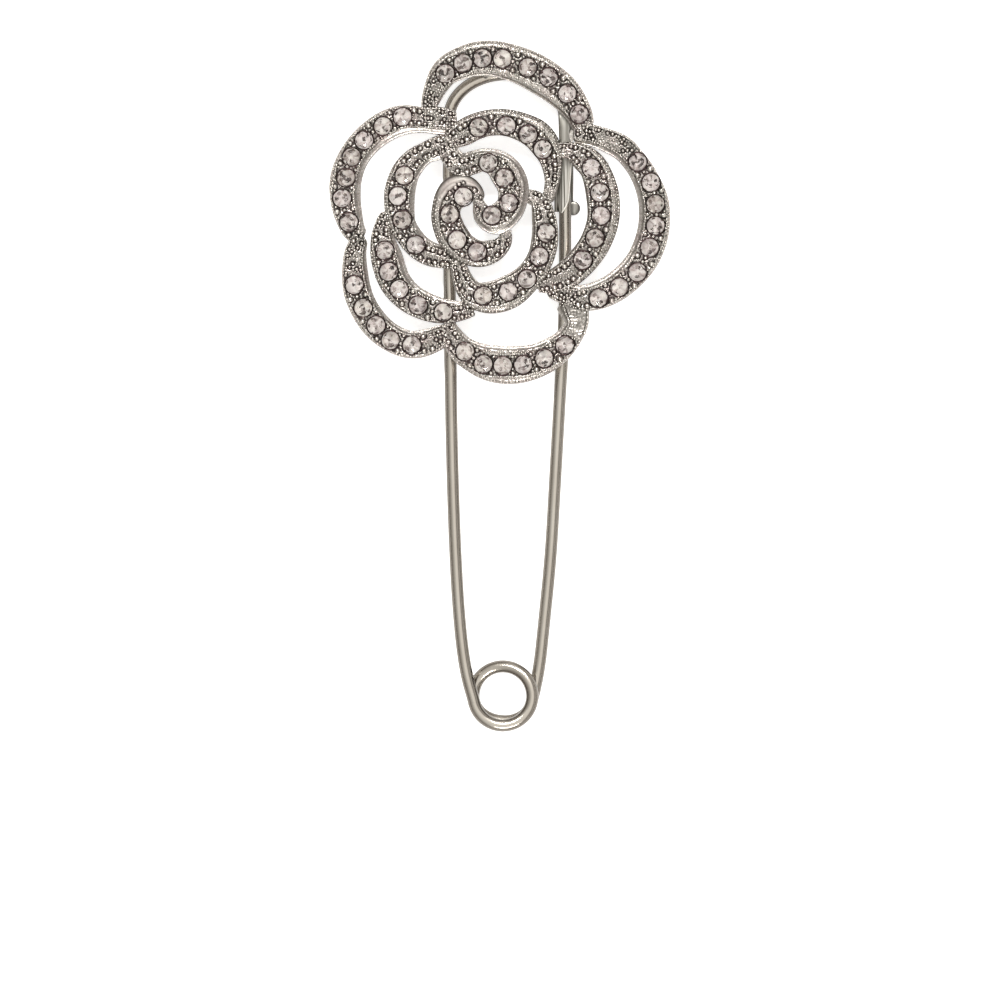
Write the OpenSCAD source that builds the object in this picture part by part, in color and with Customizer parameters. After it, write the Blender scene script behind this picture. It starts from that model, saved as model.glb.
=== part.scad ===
// Safety pin brooch: an openwork rose of twelve curled petal bands set with
// round crystals, soldered on the bow and fixed leg of a large wire safety pin.
// It lies on its back, face up: +Z is the front, +Y points to the top of the
// rose and the origin is the middle of the footprint. All lengths are in mm.

/* [Overall] */
// Length from the spring coil to the top of the rose
total_len = 83; // [75:1:100]
// Diameter of the rose
rose_d = 41; // [38:0.5:44]
// Height of the rose from its back plane to the rim of the centre curl
rose_h = 3.4; // [2.8:0.1:4.2]

/* [Petal bands] */
// Nominal width of a petal band across its back
band_w = 3.6; // [3.3:0.1:4]
// Thickness of a petal band
band_t = 1.7; // [1.5:0.1:2.2]
// Width of the beaded rim on each side of the stone channel
rim_w = 0.32; // [0.2:0.02:0.5]
// Depth of the stone channel below the rims
channel_d = 0.45; // [0.3:0.05:0.6]
// Width of the smooth wall that leans out on the inner side of a band
lean_w = 0.45; // [0.2:0.05:0.7]

/* [Stones] */
// Diameter of a stone at its girdle
stone_d = 2.2; // [1.8:0.05:2.24]
// Diameter of the table, the flat top facet
table_d = 1.2; // [0.8:0.05:1.5]
// Height of the crown above the girdle
crown_h = 0.36; // [0.25:0.02:0.5]
// Depth of the pavilion below the girdle
pavilion_h = 0.9; // [0.7:0.05:0.95]
// Air between a stone and its drilled seat
seat_gap = 0.05; // [0.04:0.01:0.1]

/* [Pin wire] */
// Diameter of the pin wire
wire_d = 1.5; // [1.2:0.05:1.7]
// Diameter of the spring coil at the middle of the wire
coil_d = 7.08; // [6:0.1:8]
// Air between the two layers of the coil
coil_gap = 0.1; // [0.1:0.05:0.3]
// Side step of the coil's centre from the middle line
coil_x = 0.34; // [-0.5:0.02:1]
// Side step of the fixed leg where it meets the bow
leg_x = -6.12; // [-7:0.02:-5.5]
// Air between the ends of the pieces of wire
wire_gap = 0.05; // [0.03:0.01:0.1]
// Length of the ground point of the arm
point_l = 4.4; // [3:0.1:5]
// Diameter left at the tip of the point
tip_d = 0.24; // [0.16:0.02:0.4]

/* [Catch] */
// Thickness of the flattened catch
sheet_t = 0.42; // [0.35:0.01:0.5]
// Width of the flattened tongue
tongue_w = 1.6; // [1.5:0.02:1.9]
// Length of the catch along the arm
catch_l = 7.5; // [6:0.1:8]
// Air between the arm and each leaf of the catch
catch_gap = 0.12; // [0.1:0.02:0.2]
// Diameter of the round tab on the back leaf
tab_d = 1.7; // [1.4:0.05:1.9]

/* [Hidden] */
$fn = 48;

silver = [0.72, 0.70, 0.67];
steel = [0.66, 0.63, 0.58];
crystal = [0.93, 0.86, 0.85];

wire_r = wire_d / 2;
coil_r = coil_d / 2;
rose_r = rose_d / 2;
rose_y = total_len / 2 - rose_r;
coil_y = coil_r + wire_r - total_len / 2;

// Height of the two coil layers, of the arm inside the catch, of the tongue and
// of the rose's back plane, which the tongue laps into
lap = 0.2;
low_z = wire_r;
high_z = low_z + wire_d + coil_gap;
catch_z = sheet_t + catch_gap + wire_r;
tongue_z = catch_z + wire_r + catch_gap + sheet_t / 2;
back_z = tongue_z + sheet_t / 2 - lap;

// Petal bands. Each section gives the place of the band's middle and its half
// width and rim height there.
X = 0; // share of the rose's radius to the right of its centre
Y = 1; // share of the rose's radius above its centre
W = 2; // half width as a share of half the nominal band width
T = 3; // rim height above the back plane as a share of the rose's height

top_band = [
    [-0.380, 0.561, 0.47, 0.44], [-0.410, 0.632, 0.60, 0.44], [-0.334, 0.796, 0.93, 0.48],
    [-0.222, 0.866, 1.09, 0.5], [-0.070, 0.895, 1.18, 0.5], [0.091, 0.860, 1.23, 0.5],
    [0.228, 0.796, 1.27, 0.5], [0.363, 0.699, 1.18, 0.5], [0.457, 0.579, 0.93, 0.5],
    [0.492, 0.474, 0.73, 0.48]
];
upper_left_band = [
    [-0.252, 0.515, 0.80, 0.6], [-0.351, 0.526, 0.93, 0.6], [-0.451, 0.532, 0.87, 0.59],
    [-0.562, 0.532, 1.00, 0.56], [-0.667, 0.496, 1.04, 0.53], [-0.772, 0.420, 1.03, 0.5],
    [-0.855, 0.316, 1.03, 0.5], [-0.901, 0.193, 1.07, 0.5], [-0.904, 0.064, 1.03, 0.52],
    [-0.872, -0.077, 0.87, 0.55], [-0.820, -0.170, 0.63, 0.55]
];
left_inner_band = [
    [-0.263, 0.415, 0.67, 0.62], [-0.363, 0.368, 0.80, 0.6], [-0.436, 0.339, 0.73, 0.6],
    [-0.506, 0.286, 0.87, 0.62], [-0.559, 0.210, 0.97, 0.64], [-0.588, 0.093, 1.04, 0.66],
    [-0.582, -0.042, 0.97, 0.66], [-0.550, -0.118, 0.87, 0.66], [-0.483, -0.204, 0.85, 0.64],
    [-0.406, -0.253, 0.83, 0.62], [-0.305, -0.278, 0.70, 0.6], [-0.236, -0.289, 0.53, 0.6]
];
lower_left_inner_band = [
    [-0.656, -0.006, 0.40, 0.56], [-0.679, -0.077, 0.60, 0.56], [-0.685, -0.170, 0.83, 0.58],
    [-0.661, -0.282, 1.07, 0.6], [-0.620, -0.404, 1.07, 0.62], [-0.550, -0.492, 1.02, 0.62],
    [-0.468, -0.545, 0.98, 0.62], [-0.369, -0.580, 0.89, 0.62], [-0.263, -0.589, 0.73, 0.62],
    [-0.152, -0.574, 0.53, 0.6]
];
lower_left_band = [
    [-0.814, -0.147, 0.53, 0.45], [-0.849, -0.264, 0.77, 0.48], [-0.843, -0.428, 0.93, 0.5],
    [-0.808, -0.545, 0.95, 0.5], [-0.738, -0.656, 0.97, 0.5], [-0.644, -0.738, 0.95, 0.5],
    [-0.533, -0.782, 0.93, 0.5], [-0.430, -0.770, 0.90, 0.5], [-0.304, -0.715, 0.73, 0.48]
];
bottom_band = [
    [-0.318, -0.652, 0.48, 0.465], [-0.246, -0.785, 0.87, 0.5], [-0.164, -0.849, 1.03, 0.5],
    [-0.047, -0.892, 1.24, 0.5], [0.088, -0.901, 1.28, 0.5], [0.222, -0.873, 1.15, 0.5],
    [0.337, -0.808, 1.00, 0.5], [0.410, -0.732, 0.83, 0.5], [0.447, -0.645, 0.84, 0.49],
    [0.417, -0.522, 1.17, 0.48]
];
right_band = [
    [0.427, 0.450, 0.74, 0.455], [0.539, 0.441, 0.74, 0.47], [0.697, 0.380, 0.84, 0.5],
    [0.779, 0.301, 0.83, 0.5], [0.849, 0.193, 0.89, 0.5], [0.899, 0.052, 1.02, 0.5],
    [0.899, -0.106, 1.07, 0.5], [0.855, -0.246, 1.07, 0.5], [0.781, -0.355, 1.03, 0.52],
    [0.667, -0.451, 1.00, 0.54], [0.533, -0.504, 0.93, 0.56], [0.410, -0.498, 0.73, 0.56],
    [0.275, -0.463, 0.40, 0.56]
];
right_inner_band = [
    [0.310, 0.356, 0.53, 0.6], [0.410, 0.351, 0.60, 0.6], [0.488, 0.309, 0.89, 0.62],
    [0.555, 0.237, 0.98, 0.64], [0.599, 0.099, 1.11, 0.66], [0.603, -0.053, 1.08, 0.66],
    [0.550, -0.200, 1.04, 0.66], [0.454, -0.323, 1.00, 0.64], [0.357, -0.393, 0.90, 0.62],
    [0.211, -0.440, 0.53, 0.6]
];
inner_top_band = [
    [-0.304, 0.397, 0.53, 0.72], [-0.222, 0.450, 0.87, 0.72], [-0.146, 0.491, 0.90, 0.72],
    [-0.059, 0.515, 0.89, 0.7], [0.041, 0.515, 0.91, 0.7], [0.140, 0.485, 0.97, 0.7],
    [0.217, 0.441, 1.03, 0.7], [0.272, 0.368, 0.97, 0.7], [0.301, 0.280, 0.73, 0.68],
    [0.304, 0.169, 0.50, 0.66], [0.275, 0.046, 0.40, 0.66]
];
heart_band = [
    [0.129, 0.099, 0.40, 0.7], [0.222, 0.058, 0.60, 0.74], [0.255, -0.036, 0.80, 0.78],
    [0.263, -0.159, 0.90, 0.8], [0.234, -0.282, 0.90, 0.8], [0.164, -0.388, 0.96, 0.8],
    [0.064, -0.469, 1.13, 0.8], [-0.047, -0.507, 1.09, 0.8], [-0.146, -0.492, 0.93, 0.78],
    [-0.208, -0.422, 0.73, 0.74], [-0.252, -0.287, 0.47, 0.7]
];
curl_top_band = [
    [-0.316, 0.433, 0.53, 0.7], [-0.290, 0.327, 0.70, 0.74], [-0.228, 0.269, 0.80, 0.82],
    [-0.164, 0.279, 0.79, 0.9], [-0.100, 0.296, 0.78, 0.95], [-0.030, 0.280, 0.92, 0.98],
    [0.028, 0.231, 1.10, 1], [0.072, 0.153, 1.08, 1], [0.076, 0.073, 1.00, 1],
    [0.047, -0.001, 0.99, 1], [-0.023, -0.049, 1.04, 1], [-0.091, -0.027, 0.77, 0.99],
    [-0.124, 0.040, 0.42, 0.97], [-0.132, 0.108, 0.32, 0.95]
];
curl_left_band = [
    [-0.127, 0.046, 0.37, 0.92], [-0.139, 0.087, 0.60, 0.93], [-0.171, 0.109, 0.89, 0.94],
    [-0.217, 0.118, 1.08, 0.94], [-0.263, 0.103, 1.13, 0.94], [-0.296, 0.064, 1.04, 0.93],
    [-0.313, 0.017, 0.97, 0.92], [-0.316, -0.036, 1.00, 0.91], [-0.301, -0.094, 1.04, 0.9],
    [-0.272, -0.153, 1.07, 0.9], [-0.214, -0.216, 0.99, 0.9], [-0.129, -0.252, 0.91, 0.9],
    [-0.047, -0.238, 0.80, 0.88], [0.018, -0.191, 0.57, 0.88], [0.044, -0.112, 0.33, 0.9]
];

// Each petal: its sections, the side that its smooth wall is on (1 is left of
// the way along it, -1 right) and its stones
SECTIONS = 0;
SIDE = 1;
SEATS = 2;
// Each stone: the section number at which it sits and its side step toward the
// smooth wall as a share of the half width
PLACE = 0;
STEP = 1;
petals = [
    [top_band, -1, [[2.1, 0.04], [3.02, 0.02], [3.78, -0.01], [4.5, -0.08], [5.47, -0.07],
        [6.32, -0.17], [7.18, -0.12], [8.09, 0.02]]],
    [upper_left_band, 1, [[3.06, -0.23], [4.13, -0.11], [5.16, -0.15], [6.05, -0.15],
        [6.98, -0.03], [7.9, -0.23], [8.88, -0.13]]],
    [left_inner_band, 1, [[4.03, -0.02], [5.05, -0.13], [6.1, 0.08], [7.87, -0.06]]],
    [lower_left_inner_band, 1, [[2.56, -0.02], [3.55, -0.14], [4.51, -0.06], [5.91, -0.13],
        [7.35, -0.08]]],
    [lower_left_band, 1, [[2.02, -0.15], [3.17, -0.05], [4.13, 0], [5.09, -0.17], [6.14, -0.02]]],
    [bottom_band, 1, [[1.51, 0.01], [2.62, -0.17], [3.47, -0.04], [4.33, -0.03], [5.27, -0.04],
        [6.41, -0.12]]],
    [right_band, -1, [[3.21, -0.16], [4.26, -0.23], [5.08, -0.07], [5.86, -0.08], [6.74, -0.05],
        [7.91, -0.2], [8.81, -0.13], [9.72, -0.19]]],
    [right_inner_band, -1, [[2.78, 0.13], [3.92, 0.15], [4.84, 0.18], [5.75, 0.17], [6.69, 0.04]]],
    [inner_top_band, -1, [[2.19, 0.12], [3.97, 0.22], [5.39, 0.29], [6.94, 0.28]]],
    [heart_band, -1, [[2.75, -0.07], [3.9, 0.14], [5.1, -0.02], [6.14, 0.06], [7.52, 0.12]]],
    [curl_top_band, 1, [[4.46, -0.15], [6.34, -0.27], [8.42, -0.24], [10.44, -0.26]]],
    [curl_left_band, 1, [[3.06, 0.35], [6.67, 0.25], [9.32, 0.06], [10.91, 0.13]]]
];

// Rings between two sections of a petal band
band_steps = 2;
// Sides of a stone and of its drilled seat
stone_sides = 10;
seat_sides = 8;
// Height of the girdle band of a stone, and of its lower edge above the channel
girdle_h = 0.1;
perch_h = 0.19;
// Step between the channel floor and the drilled seat, and the seat's height
seat_step = 0.02;
seat_h = 2;
// Depth to which the pieces of the pin back run into each other
fuse = 0.3;
// Two stretches of wire leave this much air, closed by a ball this much thicker
hair = 0.01;
ball_extra = 0.002;

// Position on a smooth curve through the rows of a table
function between(a, b, c, d, t) = 0.5 * (2 * b + (c - a) * t
    + (2 * a - 5 * b + 4 * c - d) * t * t + (3 * b - a - 3 * c + d) * t * t * t);
function row(rows, i) = i < 0 ? 2 * rows[0] - rows[1]
    : i >= len(rows) ? 2 * rows[len(rows) - 1] - rows[len(rows) - 2] : rows[i];
function along(rows, s) = let (i = min(floor(s), len(rows) - 2))
    between(row(rows, i - 1), row(rows, i), row(rows, i + 1), row(rows, i + 2), s - i);
function heading(rows, s) = let (d = along(rows, s + 0.02) - along(rows, s - 0.02))
    [d[X], d[Y]] / norm([d[X], d[Y]]);

// Level of the rim and of the channel floor at a place along a band
function rim_level(at) = back_z + rose_h * at[T];
function floor_level(at) = rim_level(at) - channel_d;
function half_width(at) = band_w / 2 * at[W];
function lean(at) = min(lean_w, 0.3 * half_width(at));

// Section of a band, from its outer foot over both rims to its inner foot:
// side step toward the inner side and height
function band_profile(at) = let (
        h = half_width(at),
        rim = min(rim_w, 0.25 * h),
        slope = min(0.1, 0.06 * h),
        top = rim_level(at),
        low = max(back_z, top - band_t),
        inner = h - lean(at)
    ) [
        [-h + slope, low], [-h, low + (top - low) / 3], [-h + slope, top],
        [-h + slope + rim, top], [-h + 2 * slope + rim, top - channel_d],
        [inner - slope - rim, top - channel_d], [inner - rim, top], [inner, top], [h, low]
    ];

// Place of a side step and height beside the middle line of a band
function beside(rows, side, s, step, z) = let (at = along(rows, s), go = heading(rows, s))
    [rose_r * at[X] - side * step * go[1], rose_y + rose_r * at[Y] + side * step * go[0], z];

// Solid skin through rings of equally many points, with flat ends
module skin(rings) {
    n = len(rings[0]);
    last = len(rings) - 1;
    sides = [for (i = [0 : last - 1], j = [0 : n - 1]) let (k = (j + 1) % n)
        each [[i * n + j, (i + 1) * n + j, i * n + k], [i * n + k, (i + 1) * n + j, (i + 1) * n + k]]];
    ends = [[for (j = [0 : n - 1]) j], [for (j = [n - 1 : -1 : 0]) last * n + j]];
    polyhedron([for (ring = rings) each ring], concat(sides, ends));
}

module petal_band(petal) {
    rows = petal[SECTIONS];
    side = petal[SIDE];
    skin([for (i = [0 : band_steps * (len(rows) - 1)]) let (
            s = i / band_steps,
            ring = [for (p = band_profile(along(rows, s))) beside(rows, side, s, p[0], p[1])]
        ) side > 0 ? [for (j = [len(ring) - 1 : -1 : 0]) ring[j]] : ring]);
}

// Centre of a stone at the lower edge of its girdle
function seat_place(petal, seat) = let (at = along(petal[SECTIONS], seat[PLACE]))
    beside(petal[SECTIONS], petal[SIDE], seat[PLACE], seat[STEP] * half_width(at), floor_level(at) + perch_h);

// Drilled seat: a hole for the pavilion and a wider cut through the rims
module seats(petal) {
    clear = seat_gap + stone_d / 2 * (1 / cos(180 / seat_sides) - 1);
    waist_r = stone_d / 2 * (1 - perch_h / pavilion_h) + clear;
    for (seat = petal[SEATS]) translate(seat_place(petal, seat)) {
        translate([0, 0, -pavilion_h - seat_gap]) cylinder(h = pavilion_h, r = waist_r, $fn = seat_sides);
        translate([0, 0, seat_step - perch_h])
            cylinder(h = seat_h, r = stone_d / 2 + clear, $fn = seat_sides);
    }
}

// One stone: table, crown facets, girdle and pavilion facets down to a point
module stone() {
    n = stone_sides;
    levels = [[table_d / 2, girdle_h + crown_h], [stone_d / 2, girdle_h], [stone_d / 2, 0]];
    points = [for (l = levels, j = [0 : n - 1]) [l[0] * cos(360 * j / n), l[0] * sin(360 * j / n), l[1]]];
    sides = [for (l = [0 : 1], j = [0 : n - 1]) let (k = (j + 1) % n)
        [l * n + j, l * n + k, (l + 1) * n + k, (l + 1) * n + j]];
    pavilion = [for (j = [0 : n - 1]) [2 * n + j, 2 * n + (j + 1) % n, 3 * n]];
    polyhedron(concat(points, [[0, 0, -pavilion_h]]),
        concat([[for (j = [n - 1 : -1 : 0]) j]], sides, pavilion));
}

module stone_row(i) {
    color(crystal) for (seat = petals[i][SEATS]) let (go = heading(petals[i][SECTIONS], seat[PLACE]))
        translate(seat_place(petals[i], seat)) rotate([0, 0, 90 + atan2(go[1], go[0])]) stone();
}

// Coil: directions from its centre at which the leg and the arm leave it
leg_angle = 193;
arm_angle = -15;
function coil_point(angle, z) = [coil_x + coil_r * cos(angle), coil_y + coil_r * sin(angle), z];

// The arm as stretches from the coil to the catch: length as a share of its
// reach and turn to the left in degrees. The last stretch goes straight on.
LENGTH = 0;
TURN = 1;
catch_mouth_y = rose_y - 0.02 * rose_r;
arm_reach = catch_mouth_y - coil_point(arm_angle, 0)[1];
arm_route = [[0.113, 9.15], [0.118, 0], [0.137, 2.6], [0.4, 0], [0.103, 3.25], [0.133, 0]];
arm_rise = asin((catch_z - low_z) / arm_reach);

function end_of(r) = let (l = r[LENGTH] * arm_reach, t = r[TURN])
    t == 0 ? [0, l] : let (radius = l / (t * PI / 180)) [radius * (cos(t) - 1), radius * sin(t)];
function turned(p, a) = [p[0] * cos(a) - p[1] * sin(a), p[0] * sin(a) + p[1] * cos(a)];
function reach(i, a) = i == len(arm_route) ? [0, 0]
    : turned(end_of(arm_route[i]), a) + reach(i + 1, a + arm_route[i][TURN]);
arm_x = coil_point(arm_angle, 0)[0] + reach(0, arm_angle)[0];

// Two stretches of wire meet inside a ball that is a hair thicker than them
module wire_joint() {
    sphere(wire_r + ball_extra);
}

// Bend to the left from the origin along +Y, cut a hair short for its joint
module bend(l, turn) {
    radius = l / (turn * PI / 180);
    skip = hair / radius * 180 / PI;
    translate([-radius, 0, 0]) rotate([0, 0, skip]) rotate_extrude(angle = turn - skip)
        translate([radius, 0]) circle(wire_r);
}

// Straight stretch of wire along +Y, between two joints
module straight(l) {
    translate([0, hair, 0]) rotate([-90, 0, 0]) cylinder(h = l - hair, r = wire_r);
}

// Last stretch: straight, then ground a little inside the catch, then a point
module ground_end(l) {
    ground_l = 0.8 * catch_l;
    translate([0, hair, 0]) rotate([-90, 0, 0]) rotate_extrude() polygon([
        [0, 0], [wire_r, 0], [wire_r, l - hair], [0.94 * wire_r, l + ground_l],
        [tip_d / 2, l + ground_l + point_l], [0, l + ground_l + point_l + tip_d / 3]
    ]);
}

module arm_from(i) {
    r = arm_route[i];
    l = r[LENGTH] * arm_reach;
    end = end_of(r);
    if (i > 0) wire_joint();
    if (i == len(arm_route) - 1) ground_end(l);
    else {
        if (r[TURN] == 0) straight(l);
        else bend(l, r[TURN]);
        translate([end[0], end[1], 0]) rotate([0, 0, r[TURN]]) arm_from(i + 1);
    }
}

module pin_arm() {
    color(steel) translate(coil_point(arm_angle, low_z)) rotate([arm_rise, 0, 0]) rotate([0, 0, arm_angle])
        translate([0, wire_gap, 0]) arm_from(0);
}

// Coil of one and a half turns: a level half turn under the fixed leg, a
// sloping half turn over the top and a level half turn that the arm leaves
module coil_arc(radius, from, to) {
    rotate([0, 0, from]) rotate_extrude(angle = to - from) translate([radius, 0]) circle(wire_r);
}

module spring_coil() {
    slope = atan((high_z - low_z) / coil_d);
    skip = hair / coil_r * 180 / PI;
    color(steel) translate([coil_x, coil_y, 0]) {
        translate([0, 0, high_z]) coil_arc(coil_r, leg_angle, 360 - skip);
        translate([coil_r, 0, high_z]) wire_joint();
        translate([0, 0, (low_z + high_z) / 2]) rotate([0, -slope, 0]) coil_arc(coil_r / cos(slope), 0, 180);
        translate([-coil_r, 0, low_z]) wire_joint();
        translate([0, 0, low_z]) coil_arc(coil_r, 180 + skip, 360 + arm_angle);
    }
}

// Fixed leg and bow. The leg leaves the coil along its turn and bends upright,
// most of it near the coil. The bow is half an oval, a little lower than half a
// circle, and ends in the flattened tongue of the catch.
leg_steps = 12;
bow_steps = 12;
wire_sides = 12;
bow_r = (arm_x - leg_x) / 2;
bow_x = (arm_x + leg_x) / 2;
bow_place = 0.542;
bow_flatness = 0.766;
bow_y = rose_y + bow_place * rose_r;
bow_h = bow_flatness * bow_r;
function bow_point(a) = [bow_x + bow_r * cos(a), bow_y + bow_h * sin(a)];
function bow_way(a) = [bow_r * sin(a), -bow_h * cos(a)] / norm([bow_r * sin(a), bow_h * cos(a)]);

function bezier(p, t) = p[0] * pow(1 - t, 3) + 3 * p[1] * t * pow(1 - t, 2)
    + 3 * p[2] * t * t * (1 - t) + p[3] * pow(t, 3);

leg_start = coil_point(leg_angle, high_z);
leg_way = [sin(leg_angle), -cos(leg_angle), 0];
leg_end = [leg_x, bow_y, low_z];
leg_span = leg_end - leg_start;
near_share = 0.065;
far_share = 0.947;
leg_curve = [
    leg_start + wire_gap * leg_way,
    leg_start + near_share * norm(leg_span) * leg_way + [0, 0, near_share * leg_span[2]],
    leg_end - far_share * [0, norm(leg_span), leg_span[2]],
    leg_end
];

// Ring of a wire: centre, direction seen from above, half width and half height
function wire_ring(centre, way, half_w, half_h) = [for (j = [0 : wire_sides - 1]) let (
        a = -360 * j / wire_sides, u = half_w * cos(a)
    ) centre + [u * way[1], -u * way[0], half_h * sin(a)]];

function leg_rings() = [for (i = [0 : leg_steps - 1]) let (
        t = i / leg_steps,
        d = bezier(leg_curve, t + 0.01) - bezier(leg_curve, max(0, t - 0.01)),
        way = i == 0 ? [leg_way[0], leg_way[1]] : [d[0], d[1]] / norm([d[0], d[1]])
    ) wire_ring(bezier(leg_curve, t), way, wire_r, wire_r)];

// The second half of the bow climbs to the tongue and is hammered flat
function flat_share(i) = pow(max(0, i / bow_steps * 2 - 1), 1.5);
function bow_rings() = [for (i = [0 : bow_steps]) let (
        a = 180 - 180 * i / bow_steps,
        f = flat_share(i)
    ) wire_ring(
        [each bow_point(a), low_z + f * (tongue_z - low_z)],
        bow_way(a),
        wire_r + f * (tongue_w / 2 - wire_r),
        wire_r + f * (sheet_t / 2 - wire_r)
    )];

// The tongue runs down in front of the arm. Rows: way down as a share of its
// length, half width as a share and side step as a share of its width.
tongue_rows = [
    [0.25, 0.93, 0.02], [0.487, 0.9, 0.03], [0.643, 0.95, -0.07], [0.83, 0.97, -0.19],
    [0.893, 0.8, -0.225], [0.944, 0.51, -0.29], [0.986, 0.22, -0.34]
];
tongue_l = bow_y - catch_mouth_y;
function tongue_rings() = [for (r = tongue_rows) wire_ring(
        [arm_x + r[2] * tongue_w, bow_y - r[0] * tongue_l, tongue_z],
        [0, -1], r[1] * tongue_w / 2, sheet_t / 2
    )];

module bow_and_leg() {
    skin(concat(leg_rings(), bow_rings(), tongue_rings()));
}

// The catch is folded behind the arm on its inner side: fold wall, back leaf
// that reaches past the arm, and a round tab at the mouth. Its fold wall starts
// inside the tongue.
leaf_over = 0.25;
tab_out = 0.57;
tab_up = 0.44;
tab_sides = 32;

module catch() {
    wall_x = arm_x - wire_r - catch_gap - sheet_t;
    wall_y = catch_mouth_y + fuse;
    tab_x = arm_x + tab_out * tab_d;
    tab_y = catch_mouth_y + tab_up * tab_d;
    translate([wall_x, wall_y, 0]) cube([sheet_t, catch_l, tongue_z]);
    translate([wall_x, wall_y, 0]) cube([arm_x + wire_r + leaf_over - wall_x, catch_l, sheet_t]);
    hull() {
        translate([tab_x, tab_y, 0]) cylinder(h = sheet_t, d = tab_d, $fn = tab_sides);
        translate([wall_x + tab_d / 3, tab_y, 0]) cylinder(h = sheet_t, d = tab_d / 2, $fn = tab_sides);
    }
}

// Solder pads between the wire and the petals. Those on the leg: place as shares
// of the rose's radius from its centre and rim height share of the petal above.
// Those on the bow: direction from its centre. Each pad is a little narrower
// than the wire and runs up into the petal.
leg_pads = [
    [[leg_x / rose_r + 0.006, -0.69], 0.5], [[leg_x / rose_r + 0.002, -0.27], 0.6],
    [[leg_x / rose_r, 0.36], 0.7], [[leg_x / rose_r, 0.53], 0.6]
];
bow_pads = [112, 96, 80];
pad_w = 0.8 * wire_d;
pad_l = 1.3 * wire_d;
bow_pad_w = 0.66 * wire_d;
bow_pad_lean = 0.35 * wire_d;
function leg_level(y) = low_z + (high_z - low_z) * (bow_y - y) / (bow_y - leg_start[1]);

module pad(place, level, rim, width, length, shift) {
    top = max(back_z, back_z + rose_h * rim - band_t) + fuse;
    hull() {
        translate([place[0], place[1], level]) cube([width, length, fuse], center = true);
        translate([place[0], place[1] + shift, top]) cube([width, length, fuse], center = true);
    }
}

module solder_pads() {
    for (p = leg_pads) let (y = rose_y + rose_r * p[0][1])
        pad([rose_r * p[0][0], y], leg_level(y), p[1], pad_w, pad_l, 0);
    for (a = bow_pads)
        pad(bow_point(a), low_z, 0.5, bow_pad_w, bow_pad_w, bow_pad_lean);
}

module rose_frame() {
    color(silver) difference() {
        union() {
            for (p = petals) petal_band(p);
            bow_and_leg();
            catch();
            solder_pads();
        }
        for (p = petals) seats(p);
    }
}

rose_frame();
spring_coil();
pin_arm();
stone_row(0);  // stones_top
stone_row(1);  // stones_upper_left
stone_row(2);  // stones_left_inner
stone_row(3);  // stones_lower_left_inner
stone_row(4);  // stones_lower_left
stone_row(5);  // stones_bottom
stone_row(6);  // stones_right
stone_row(7);  // stones_right_inner
stone_row(8);  // stones_inner_top
stone_row(9);  // stones_heart
stone_row(10);  // stones_curl_top
stone_row(11);  // stones_curl_left
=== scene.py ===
"""Looks of the safety pin brooch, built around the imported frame. Lengths in the code are in mm."""

import math
import random

import bpy
import numpy as np
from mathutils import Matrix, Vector


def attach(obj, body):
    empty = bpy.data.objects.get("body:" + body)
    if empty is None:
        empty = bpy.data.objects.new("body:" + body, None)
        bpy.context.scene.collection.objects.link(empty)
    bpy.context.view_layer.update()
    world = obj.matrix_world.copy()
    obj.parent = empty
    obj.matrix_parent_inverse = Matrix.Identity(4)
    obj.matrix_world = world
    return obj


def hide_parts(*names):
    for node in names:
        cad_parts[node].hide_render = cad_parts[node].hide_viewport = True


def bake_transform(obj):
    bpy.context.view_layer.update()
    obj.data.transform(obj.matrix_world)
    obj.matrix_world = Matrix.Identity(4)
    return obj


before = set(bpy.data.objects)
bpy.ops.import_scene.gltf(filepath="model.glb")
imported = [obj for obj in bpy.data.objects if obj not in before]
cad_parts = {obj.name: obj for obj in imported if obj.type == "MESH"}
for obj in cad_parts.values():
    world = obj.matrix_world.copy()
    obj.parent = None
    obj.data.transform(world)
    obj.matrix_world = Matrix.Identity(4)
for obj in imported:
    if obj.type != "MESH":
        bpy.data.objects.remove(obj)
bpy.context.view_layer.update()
MM = 0.001
rng = random.Random(7)

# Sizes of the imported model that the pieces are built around
ROSE_R, ROSE_Y, ROSE_H, BACK_Z = 20.5, 21.0, 3.4, 2.38
BAND_W, BAND_T, CHANNEL_D = 3.6, 1.7, 0.45
STONE_R, TABLE_R, CROWN_H, GIRDLE_H, PAVILION_H = 1.1, 0.6, 0.36, 0.1, 0.9
PERCH_H = 0.19
WIRE_R = 0.75
COIL_R, COIL_X, COIL_Y = 3.54, 0.34, -37.21
LOW_Z, HIGH_Z, CATCH_Z, TONGUE_Z = 0.75, 2.35, 1.29, 2.37
SHEET_T, TONGUE_W, CATCH_L, CATCH_GAP, TAB_D, LEAF_OVER = 0.42, 1.6, 7.5, 0.12, 1.7, 0.25
LEG_ANGLE, ARM_ANGLE = 193, -15
ARM_X, MOUTH_Y, LEG_X = 7.80594, 20.59, -6.12
BOW_X, BOW_Y, BOW_R, BOW_H = 0.842969, 32.111, 6.96297, 5.33363
ARM_ROUTE = ((0.113, 9.15), (0.118, 0), (0.137, 2.6), (0.4, 0), (0.103, 3.25), (0.133, 0))
# Way down the tongue as a share of its length, half width and side step as shares
TONGUE = ((0, 1, 0), (0.25, 0.93, 0.02), (0.487, 0.9, 0.03), (0.643, 0.95, -0.07), (0.83, 0.97, -0.19),
          (0.893, 0.8, -0.225), (0.944, 0.51, -0.29), (0.986, 0.22, -0.34))

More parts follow.
